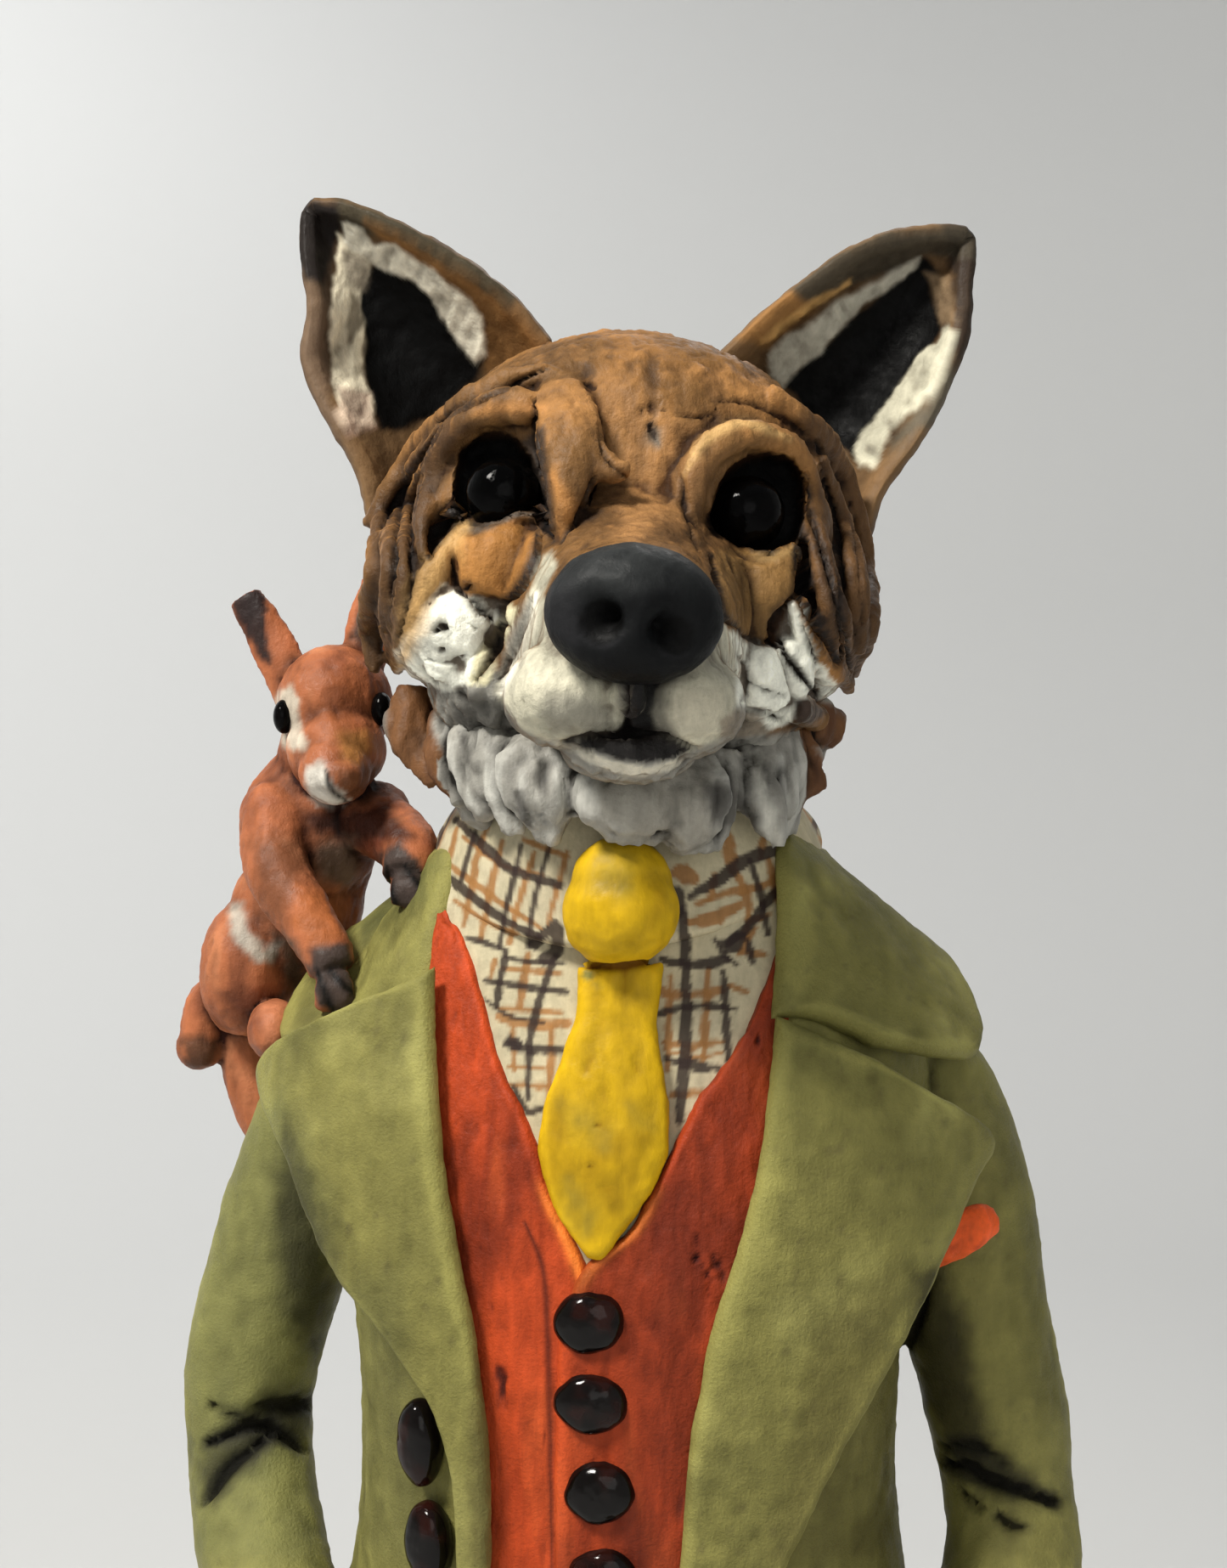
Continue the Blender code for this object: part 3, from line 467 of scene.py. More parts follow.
def make_group():
    """Colour = paint x mottling x streaks, darker in grooves (wash and painted shade) and lighter on ridges
    (rub and painted highlight). Height = fine noise.
    """
    tree = bpy.data.node_groups.new("painted_clay", "ShaderNodeTree")
    for name, kind, value in (
        ("Paint", "NodeSocketColor", (0.5, 0.5, 0.5, 1)), ("Groove", "NodeSocketFloat", 0.0),
        ("Wash", "NodeSocketColor", (0.1, 0.08, 0.06, 1)),
        ("Groove wash and shade", "NodeSocketFloat", 0.8), ("Ridge rub and highlight", "NodeSocketFloat", 0.3),
        ("Mottle", "NodeSocketFloat", 0.3), ("Streak", "NodeSocketFloat", 0.2),
        ("Fine", "NodeSocketFloat", 420.0),
    ):
        tree.interface.new_socket(name, in_out="INPUT", socket_type=kind).default_value = value
    for name, kind in (("Colour", "NodeSocketColor"), ("Roughness", "NodeSocketFloat"),
                       ("Height", "NodeSocketFloat")):
        tree.interface.new_socket(name, in_out="OUTPUT", socket_type=kind)
    nodes = tree.nodes
    given, given_out = nodes.new("NodeGroupInput").outputs, nodes.new("NodeGroupOutput").inputs
    place_of = nodes.new("ShaderNodeTexCoord").outputs["Object"]

    def noise(scale, detail, roughness, stretch=None, distortion=0.0):
        """A noise texture on Object coordinates, which stretch multiplies axis by axis."""
        made = nodes.new("ShaderNodeTexNoise")
        made.inputs["Detail"].default_value, made.inputs["Roughness"].default_value = detail, roughness
        made.inputs["Distortion"].default_value = distortion
        source = place_of
        if stretch:
            mapping = nodes.new("ShaderNodeMapping")
            mapping.inputs["Scale"].default_value = stretch
            link(tree, place_of, mapping.inputs["Vector"])
            source = mapping.outputs["Vector"]
        link(tree, source, made.inputs["Vector"])
        if isinstance(scale, float):
            made.inputs["Scale"].default_value = scale
        else:
            link(tree, scale, made.inputs["Scale"])
        return made.outputs["Fac"]

    def reckon(kind, *values):
        """One step of arithmetic on numbers and sockets."""
        made = nodes.new("ShaderNodeMath")
        made.operation = kind
        for socket, value in zip(made.inputs, values):
            if isinstance(value, (int, float)):
                socket.default_value = value
            else:
                link(tree, value, socket)
        return made.outputs[0]

    def ramp(value, low, high, to_low=0.0, to_high=1.0):
        """A straight rise from to_low to to_high, flat below low and above high."""
        made = nodes.new("ShaderNodeMapRange")
        for name, number in (("From Min", low), ("From Max", high), ("To Min", to_low), ("To Max", to_high)):
            made.inputs[name].default_value = number
        link(tree, value, made.inputs["Value"])
        return made.outputs["Result"]

    def mix(kind, share, first, second):
        """Two colours blended by kind, as strongly as share says."""
        made = nodes.new("ShaderNodeMix")
        made.data_type, made.blend_type = "RGBA", kind
        for name, value in (("Factor", share), ("A", first), ("B", second)):
            socket = next(s for s in made.inputs if s.name == name and s.enabled)
            if isinstance(value, (int, float)):
                socket.default_value = value
            else:
                link(tree, value, socket)
        return next(s for s in made.outputs if s.enabled)

    mottle = noise(62.0, 5.0, 0.62, distortion=0.4)
    fine = noise(given["Fine"], 4.0, 0.65)
    streak = noise(1.0, 4.0, 0.6, (330, 330, 70), 0.5)
    shade = reckon("MULTIPLY", ramp(mottle, 0.3, 0.7, -1, 1), given["Mottle"])
    shade = reckon("ADD", shade, reckon("MULTIPLY", ramp(streak, 0.3, 0.7, -1, 1), given["Streak"]))
    shade = reckon("ADD", shade, ramp(fine, 0.25, 0.75, -0.16, 0.16))
    groove = reckon("ADD", given["Groove"], ramp(fine, 0.3, 0.7, -0.12, 0.12))
    # Lighter on the ridges: partly rubbed paint, partly painted highlight.
    shade = reckon("ADD", shade, reckon("MULTIPLY", ramp(groove, -0.06, -0.6), given["Ridge rub and highlight"]))
    value = reckon("ADD", shade, 1.0)
    grey = nodes.new("ShaderNodeCombineColor")
    for socket in grey.inputs:
        link(tree, value, socket)
    colour = mix("MULTIPLY", 1.0, given["Paint"], grey.outputs[0])
    # Darker in the grooves: partly wash pooled there, partly painted shade.
    wash = reckon("MULTIPLY", ramp(groove, 0.04, 0.75), given["Groove wash and shade"])
    colour = mix("MULTIPLY", wash, colour, given["Wash"])
    link(tree, colour, given_out["Colour"])
    gloss = reckon("ADD", ramp(mottle, 0.3, 0.7, -0.1, 0.1), ramp(fine, 0.3, 0.7, -0.08, 0.08))
    gloss = reckon("ADD", gloss, ramp(groove, -0.3, 0.6, 0.5, 0.72))
    link(tree, gloss, given_out["Roughness"])
    height = reckon("ADD", reckon("MULTIPLY", fine, 0.55), reckon("MULTIPLY", streak, 0.45))
    link(tree, height, given_out["Height"])
    return tree


PAINTED_CLAY = make_group()
print("the group has", len(PAINTED_CLAY.nodes), "nodes")

# %% Materials and pieces
BUMP_DEPTH, GLAZE_ROUGHNESS = 0.0008, 0.06


def painted(name, wash=(92, 74, 62), groove_wash_and_shade=0.9, ridge_rub_and_highlight=0.45, mottle=0.2, streak=0.12,
            fine=420.0, bump=0.7, specular=0.16, coat=0.0, gloss=None):
    """A material whose colour is the mesh's own paint, seen through the shared group. Its wash colour darkens
    the grooves, both as pooled wash and as painted shade.
    """
    if name in MATERIALS:
        return MATERIALS[name]
    made = bpy.data.materials.new(name)
    made.use_nodes = True
    tree = made.node_tree
    shader = tree.nodes["Principled BSDF"]
    group = tree.nodes.new("ShaderNodeGroup")
    group.node_tree = PAINTED_CLAY
    for socket, attribute, output in (("Paint", "paint", "Color"), ("Groove", "groove", "Fac")):
        reader = tree.nodes.new("ShaderNodeAttribute")
        reader.attribute_name = attribute
        link(tree, reader.outputs[output], group.inputs[socket])
    for socket, value in (
        ("Wash", (*srgb(*wash), 1)), ("Groove wash and shade", groove_wash_and_shade), ("Ridge rub and highlight", ridge_rub_and_highlight),
        ("Mottle", mottle), ("Streak", streak), ("Fine", fine),
    ):
        group.inputs[socket].default_value = value
    relief = tree.nodes.new("ShaderNodeBump")
    relief.inputs["Strength"].default_value = bump
    relief.inputs["Distance"].default_value = BUMP_DEPTH
    link(tree, group.outputs["Height"], relief.inputs["Height"])
    link(tree, relief.outputs["Normal"], shader.inputs["Normal"])
    link(tree, group.outputs["Colour"], shader.inputs["Base Color"])
    if gloss is None:
        link(tree, group.outputs["Roughness"], shader.inputs["Roughness"])
    else:
        shader.inputs["Roughness"].default_value = gloss
    shader.inputs["Specular IOR Level"].default_value = specular
    shader.inputs["Coat Weight"].default_value = coat
    shader.inputs["Coat Roughness"].default_value = GLAZE_ROUGHNESS
    MATERIALS[name] = made
    return made


def piece(name, clay, material, colours, groove_reach=24):
    """Turns a clay into an object in metres, with its paint and grooves as attributes of the vertices."""
    mesh = bpy.data.meshes.new(name)
    points = (clay.points + (0, 0, BASE_THICKNESS)) / 1000
    mesh.from_pydata(points.tolist(), [], clay.quads.tolist() + clay.tris.tolist())
    groove = clay.hollow(groove_reach)
    mesh.attributes.new("paint", "FLOAT_COLOR", "POINT").data.foreach_set(
        "color", np.column_stack([colours, np.ones(len(colours))]).astype(np.float32).ravel())
    mesh.attributes.new("groove", "FLOAT", "POINT").data.foreach_set("value", groove.astype(np.float32))
    mesh.shade_smooth()
    made = bpy.data.objects.new(name, mesh)
    bpy.context.scene.collection.objects.link(made)
    mesh.materials.append(material)
    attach(made, "root")
    size = (points.max(0) - points.min(0)) * 1000
    print(f"{name}: {len(clay.quads) * 2 + len(clay.tris)} triangles, {size.round(0)} mm")
    return made


# %% [markdown]
# ## Head
#
# The head is balls of clay: skull, forehead, cheeks and jaws, and a muzzle lofted towards the viewer. On it
# lie rolls and tongues of clay: thick lids over the eyes, pouches below them, a leaf beside the bridge of the
# nose, and long locks down both temples. `laid` drops a line from the picture onto the balls along the line
# of sight, so a lock that was measured on the picture lies on the face and not in front of it.

# %% The head's forms
FACE_BALLS = (
    ((-1, 4, 8.5), (55.5, 54, 48)), ((0, -18, 20), (47, 30, 31)),
    ((34, -12, -16), (27, 34, 25)), ((-35, -12, -16), (28, 34, 25)),
    ((27, -16, -36), (21, 31, 18)), ((-27, -16, -36), (21, 31, 18)),
)
EYE_BALLS, EYE_RADIUS, MUZZLE_LEAN = ((-30.5, -39.8, 6.5), (27.2, -40.2, 5.6)), 9.0, 2.2


def laid(path, lift=0.0):
    """Where a line of sight first meets the face's balls, grown by lift: the smaller root of a quadratic."""
    rows = np.asarray(path, float)
    if rows.shape[1] == 3:
        return seen(rows)
    back = turn(HEAD_TILT, "y")
    eye = (EYE_POINT - HEAD_CENTRE) @ back
    ray = (seen(np.column_stack([rows, np.zeros(len(rows))])) - HEAD_CENTRE) @ back - eye
    nearest, middle = np.full(len(rows), 9.0), None
    for centre, radii in FACE_BALLS:
        grown = np.asarray(radii, float) + lift
        o, d = (eye - centre) / grown, ray / grown
        a, b, c = (d * d).sum(1), (d * o).sum(1), (o * o).sum() - 1
        room = b * b - a * c
        middle = -b / a if middle is None else middle
        nearest = np.minimum(nearest, np.where(room > 0, (-b - np.sqrt(np.maximum(room, 0))) / a, 9.0))
    share = np.where(nearest < 9, nearest, middle)
    return on_head(eye + ray * share[:, None])


def lock(path, widths, thicknesses, lift=1.0):
    """A tongue of clay laid on the face, its flat side towards the viewer."""
    line = laid(path, lift)
    knots = np.linspace(0, 1, len(widths))
    stops = np.linspace(0, 1, len(line))
    widths, thicknesses = np.interp(stops, knots, widths), np.interp(stops, knots, thicknesses)
    return strip(as_is, line, widths, thicknesses, EYE_POINT - line.mean(0))


print("the middle of the brow is at", laid([(738, 500)]).round(1)[0])

# %% The locks' lines on the picture, widths and thicknesses
LOCKS = {
    "left": [
        # the lid over the eye, and the rolls of the temple outside it
        ([(634, 482), (600, 479), (560, 495), (527, 528), (513, 572), (502, 612), (500, 655)],
            (6, 9, 9, 8.5, 7.5, 6, 2.5), (6, 9, 10, 10, 8, 6, 3), 2.5),
        ([(650, 436), (600, 449), (548, 480), (498, 527), (462, 580), (436, 622)], (3, 6, 7, 7.5, 7, 4.5),
            (3, 5, 7, 8, 7, 5), 1.5),
        ([(545, 486), (505, 530), (482, 572), (466, 610), (462, 655), (458, 700), (450, 742)],
            (3, 5, 5, 5, 5.5, 5, 2), (4, 6, 6, 6, 6, 5, 2), 2.0),
        ([(525, 505), (497, 548), (478, 600), (478, 660), (472, 720), (458, 775)], (3, 4, 5, 5.5, 5.5, 3),
            (4, 5, 6, 6, 6, 3), 1.5),
        ([(452, 600), (444, 680), (438, 740), (440, 792)], (4, 7, 7, 3), (4, 6, 6, 3), 0.5),
        ([(546, 620), (520, 655), (497, 700), (480, 745), (468, 788)], (3, 5, 7, 7, 3), (3, 4, 5, 5, 3), 1.5),
        # the pouch under the eye and its rim
        ([(584, 618), (584, 655), (570, 697)], (14, 18, 11), (7, 10, 6), 2.0),
        ([(642, 604), (600, 603), (560, 613), (540, 603)], (3, 4.5, 4.5, 3), (4, 6, 6, 4), 2.5),
        # the white cheek, and the narrow strips beside the muzzle
        ([(566, 712), (522, 750), (500, 792)], (8, 19, 11), (4, 8, 4), 1.0),
        ([(540, 730), (530, 770), (520, 800)], (10, 14, 8), (4, 7, 4), 1.0),
        ([(622, 690, -52), (600, 738, -50), (578, 795, -46)], (4, 6.5, 4), (4, 6, 4), 0),
        ([(632, 690, -60), (614, 745, -56), (592, 812, -52)], (3, 4, 4), (4, 5, 5), 0),
        # the leaf beside the bridge of the nose, and its little flap
        ([(652, 446, -46), (666, 488, -58), (673, 535, -65), (668, 588, -68), (655, 636, -66)],
            (9, 15, 14.5, 9, 2), (6, 8, 9, 7, 3), 0),
        ([(696, 528, -66), (716, 553, -67), (740, 553, -67)], (7, 6, 3), (5, 5, 3), 0),
    ],
    "right": [
        ([(822, 645), (812, 600), (822, 560), (845, 530), (880, 517), (915, 523), (943, 548), (956, 592),
            (957, 640)], (5, 9, 10, 10, 9, 8, 7, 6, 3), (5, 6, 7, 8, 8, 7, 7, 6, 4), 2.2),
        ([(838, 644), (862, 650), (888, 662), (912, 664), (938, 648)], (4, 5, 5, 5, 4), (5, 6, 6, 6, 4), 2.5),
        ([(890, 655), (889, 700), (894, 752)], (19, 16, 4), (7, 9, 4), 2.0),
        ([(962, 682), (968, 692)], (5, 4), (5, 4), 2.5),
        ([(905, 462), (955, 505), (988, 560), (1006, 625)], (4, 7, 8, 4), (4, 6, 6, 4), 1.0),
        ([(962, 540), (985, 610), (1005, 690), (1014, 770)], (4, 7, 8, 3), (4, 7, 7, 3), 1.5),
        ([(950, 590), (968, 660), (985, 735), (998, 812)], (4, 6, 7, 3), (4, 6, 7, 3), 2.0),
        ([(982, 540), (1004, 600), (1014, 670), (1018, 735), (1004, 792)], (4, 7, 7, 7, 3), (4, 5, 6, 6, 3),
            0.3),
        ([(936, 705), (958, 750), (980, 800)], (4, 8, 6), (4, 6, 5), 2.0),
        ([(860, 748), (884, 792), (908, 838)], (8, 15, 11), (5, 9, 7), 2.5),
        ([(915, 762), (935, 790), (945, 815)], (6, 10, 6), (4, 7, 5), 2.5),
        ([(936, 832), (962, 846)], (7, 6), (7, 6), 2.0),
    ],
}


print("locks on the two sides:", [len(rows) for rows in LOCKS.values()])

# %% Muzzle and head in one skin


def muzzle():
    """A loft of superellipses from between the eyes to behind the nose."""
    rows = through([
        (-28, 36, 27, -50), (-45, 30, 12, -54), (-62, 25, 0, -55), (-80, 20.5, -8, -54),
        (-95, 16, -14, -50), (-103, 12, -18, -44),
    ], 48)
    x, z = oval(64, 2.2)
    y = np.broadcast_to(rows[:, :1], (len(rows), len(x)))
    return rings(on_head(np.stack([
        x[None] * rows[:, 1, None] - MUZZLE_LEAN * (y + 28) / 75, y,
        (rows[:, 2] + rows[:, 3])[:, None] / 2 + z[None] * ((rows[:, 2] - rows[:, 3]) / 2)[:, None],
    ], -1)))


def head_forms():
    """The balls, two lobes of the muzzle, two sockets with a dent for the eye, chin, lip and all locks."""
    forms = [ball(on_head, centre, radii) for centre, radii in FACE_BALLS] + [muzzle()]
    for s in SIDES.values():
        forms.append(ball(on_head, (MUZZLE_LEAN - 0.6 + s * 12, -89, -42.5), (13 - s, 15.5, 11)))
        forms.append(ball(on_head, (s * 30, -29, 4), (19, 16, 17), dents=[((s * 30, -45, 6.5), 11, 4)]))
    forms.append(ball(on_head, (MUZZLE_LEAN, -82, -53), (14, 18, 6.5)))
    forms.append(ball(on_head, (MUZZLE_LEAN, -104, -40), (3, 5, 7)))
    return forms + [lock(*row) for rows in LOCKS.values() for row in rows]


HEAD_CELL = 1.0
head = fuse("head", head_forms(), HEAD_CELL, 1)

# %% [markdown]
# Grooves and cracks come next: each is a line on the picture, a width in picture units and a depth in mm.
# The eyes sit in deep hollows, drawn as outlines. Behind, where nobody measured, soft streaks stand for fur.

# %% Relief of the head
EYE_HOLLOWS = [
    [(545, 530), (560, 519), (585, 513), (608, 519), (622, 538), (632, 565), (640, 600), (650, 630),
        (638, 622), (628, 601), (606, 601), (585, 609), (560, 613), (543, 608), (537, 585), (537, 555)],
    [(880, 541), (905, 535), (932, 543), (946, 570), (944, 612), (934, 640), (908, 651), (884, 648),
        (858, 634), (838, 630), (832, 613), (844, 595), (848, 570), (860, 553)],
]
EYE_DEPTH = 8.0
HEAD_GROOVES = [
    # left temple and lid
    ([(645, 432), (590, 460), (545, 480), (516, 497)], 3.5, 2.2),
    ([(520, 503), (482, 560), (450, 622)], 4, 2.5),
    ([(506, 522), (478, 576), (466, 640), (460, 720)], 3, 2.0),
    ([(498, 560), (484, 620), (486, 680), (470, 750)], 3, 1.8),
    ([(540, 592), (520, 612), (506, 655)], 9, 5.0),
    ([(628, 470), (632, 520), (640, 590), (648, 632)], 3.5, 2.2),
    ([(706, 500), (714, 540), (738, 562)], 3, 1.6), ([(700, 562), (690, 595), (660, 640)], 3.5, 2.0),
    ([(632, 628), (630, 655), (612, 690), (592, 712)], 5.5, 4.5),
    ([(532, 660), (538, 692), (552, 704)], 3, 2.5),
    ([(552, 702), (562, 715), (578, 728)], 5, 4.0), ([(550, 688), (552, 694)], 5, 3.0),
    ([(594, 716), (586, 758), (562, 802)], 4.5, 3.6), ([(626, 706), (612, 745), (590, 798)], 5.5, 2.0),
    ([(600, 700), (590, 722), (600, 740)], 3, 1.5),
    ([(513, 744), (520, 738), (524, 742)], 4, 3.0), ([(518, 764), (522, 768)], 2.5, 2.0),
    ([(500, 710), (530, 716), (560, 740)], 2, 0.8), ([(500, 775), (530, 780), (548, 770)], 2, 0.8),
    # forehead cracks and dents
    ([(780, 485), (815, 492), (838, 487)], 2.5, 0.9),
    ([(838, 472), (880, 474), (915, 490), (950, 512)], 2.5, 1.2),
    ([(844, 468), (842, 490), (832, 508)], 2.5, 1.0), ([(766, 500), (775, 522)], 6, 1.0),
    ([(690, 452), (700, 458)], 4, 1.5), ([(600, 432), (640, 424)], 2, 0.6),
    # right lid, wedge and cheek
    ([(838, 655), (846, 690), (852, 722), (870, 742)], 4.5, 4.0),
    ([(870, 744), (886, 752), (915, 762)], 3, 2.0),
    ([(934, 700), (914, 725), (906, 752)], 4, 2.8),
    ([(945, 640), (944, 690), (960, 730), (986, 778)], 8, 6.0),
    ([(916, 752), (930, 778), (946, 798), (962, 818)], 3.5, 3.0),
    ([(940, 728), (954, 762), (962, 780)], 3, 1.8),
    ([(968, 556), (986, 620), (992, 690), (1002, 800)], 3.5, 2.2),
    ([(950, 560), (962, 630), (984, 700), (992, 770)], 4, 2.8),
    ([(1000, 590), (1012, 660), (1016, 740)], 2.5, 1.2), ([(880, 800), (900, 812), (925, 818)], 2.5, 1.2),
    ([(868, 770), (880, 800), (872, 830)], 3, 1.5), ([(868, 836), (895, 838), (918, 846)], 3, 2.0),
    ([(960, 520), (975, 560)], 3, 1.2), ([(803, 562), (806, 600), (822, 650)], 3, 1.2),
    # the mouth
    ([(668, 873), (709, 866), (745, 862), (786, 869), (818, 882)], 5, 2.6),
    ([(738, 800), (740, 862)], 6, 3.5),
]
HEAD_RIDGES = [
    ([(806, 558), (828, 521), (846, 506), (872, 498), (902, 503), (930, 516)], 3, 0.9),
    ([(720, 812), (732, 840), (718, 866)], 4, 0.7), ([(848, 700), (856, 728)], 3, 0.6),
    ([(545, 618), (582, 622), (604, 612)], 5, 0.8), ([(868, 660), (900, 668), (930, 655)], 4, 0.8),
]


def relief_on_head(clay):
    """Hollows pushed along the line of sight, a smooth muzzle, grooves, ridges, then fur, whites and jaw."""
    places, near = picture_of(clay.points), clay.facing() * (clay.points[:, 1] < 0)
    away = clay.points - EYE_POINT
    away /= np.linalg.norm(away, axis=1)[:, None]
    room = sum(step(inside(places, outline), -2, 10) for outline in EYE_HOLLOWS)
    clay.points = clay.points + away * (room * EYE_DEPTH * near * (clay.points[:, 1] < -22))[:, None]
    soft = step(inside(places, MUZZLE_WHITE), -4, 8) * near * 0.85
    clay.points += (clay.smoothed(clay.points, 14) - clay.points) * soft[:, None]
    funnel = sum(step(inside(places, outline), -24, -2) for outline in EYE_HOLLOWS)
    push = -1.3 * funnel
    for path, width, depth in HEAD_GROOVES:
        push -= stroke(places, path, width) * depth
    for path, width, lift in HEAD_RIDGES:
        push += stroke(places, path, width) * lift
    clay.push(push * near)
    p = clay.points
    behind = step(p[:, 1], -10, 25)
    dragged = np.abs(rough(p, (3.4, 3.4, 13), 13))
    clay.push(0.6 * rough(p, (7, 7, 20), 11) * (0.4 + behind) + 0.42 * dragged + 0.2 * rough(p, 2.6, 15)
              - 0.9 * step(rough(p, (4.5, 4.5, 9), 17), 0.85, 1.2)
              + 0.35 * step(rough(p, (5, 5, 11), 19), 0.1, 0.22))
    white = step(inside(places, WHITE_LEFT), -6, 6) + step(inside(places, WHITE_RIGHT), -6, 6)
    clay.push((0.3 * rough(p, (6, 6, 5), 21) + 0.16 * rough(p, 2.2, 23)) * white * near)
    covered = np.maximum(np.clip(white, 0, 1), step(inside(places, MUZZLE_WHITE), -8, 2))
    jaw = step(inside(places, JAW), -6, 8) * (1 - covered)
    clay.push((1.3 * np.abs(rough(p, (4, 4, 9), 25)) + 0.5 * rough(p, (2.4, 2.4, 7), 27) - 0.4) * jaw * near)


MUZZLE_WHITE = [
    (638, 655), (650, 648), (655, 668), (640, 700), (660, 760), (700, 800), (738, 800), (790, 800),
    (836, 768),
    (848, 735), (862, 745), (868, 800), (862, 846), (842, 872), (812, 884), (740, 862), (680, 872),
    (640, 872),
    (613, 858), (582, 812), (588, 796), (604, 770), (616, 740), (622, 700),
]
WHITE_LEFT = [(522, 686), (552, 702), (590, 708), (588, 738), (574, 770), (556, 806), (530, 812), (500, 806),
    (468, 790), (466, 768), (488, 730), (505, 703)]
JAW = [(470, 796), (500, 800), (528, 812), (560, 796), (600, 790), (650, 760), (740, 790), (846, 760),
    (870, 830), (905, 866), (935, 860), (960, 900), (900, 1000), (560, 1000), (480, 860)]
WHITE_RIGHT = [(845, 732), (870, 748), (898, 762), (914, 758), (924, 718), (934, 702), (948, 738), (962, 774),
    (975, 792), (988, 812), (975, 826), (945, 822), (932, 850), (905, 860), (872, 838), (862, 806),
    (850, 776)]
relief_on_head(head)
print("grooves and ridges:", len(HEAD_GROOVES), len(HEAD_RIDGES))

# %% [markdown]
# A painter works from the front with a loaded brush. `Brush` does the same: it paints areas and lines that
# were measured on the picture, with ragged edges, and only on clay that faces the eye point. So what is
# behind or out of sight keeps its ground colour, and no stroke goes right through the head.

# %% A brush that follows the picture


class Brush:
    """Paints a clay by outlines and lines on the picture, only where the clay faces the eye point."""

    def __init__(self, clay, card, seed, back=5.0):
        self.places, self.near = picture_of(clay.points), clay.facing() * (clay.points[:, 1] < back)
        self.ragged = 5 * rough(clay.points, 3.2, seed)
        self.colours = coated(clay, card)

    def wash(self, card, share):
        """A colour over everything, as strong as share says."""
        self.colours = lay(self.colours, card, share)

    def area(self, card, share, soft, outline, edge=1.0):
        """A colour inside an outline, soft and ragged at its edge. Gives back where it went."""
        mask = step(inside(self.places, outline) + self.ragged * edge, -soft, soft) * self.near
        self.wash(card, mask * share)
        return mask

    def line(self, card, share, width, path):
        """A colour along a line. Gives back where it went."""
        mask = stroke(self.places, path, width * (1 + 0.06 * self.ragged)) ** 0.7 * self.near
        self.wash(card, mask * share)
        return mask
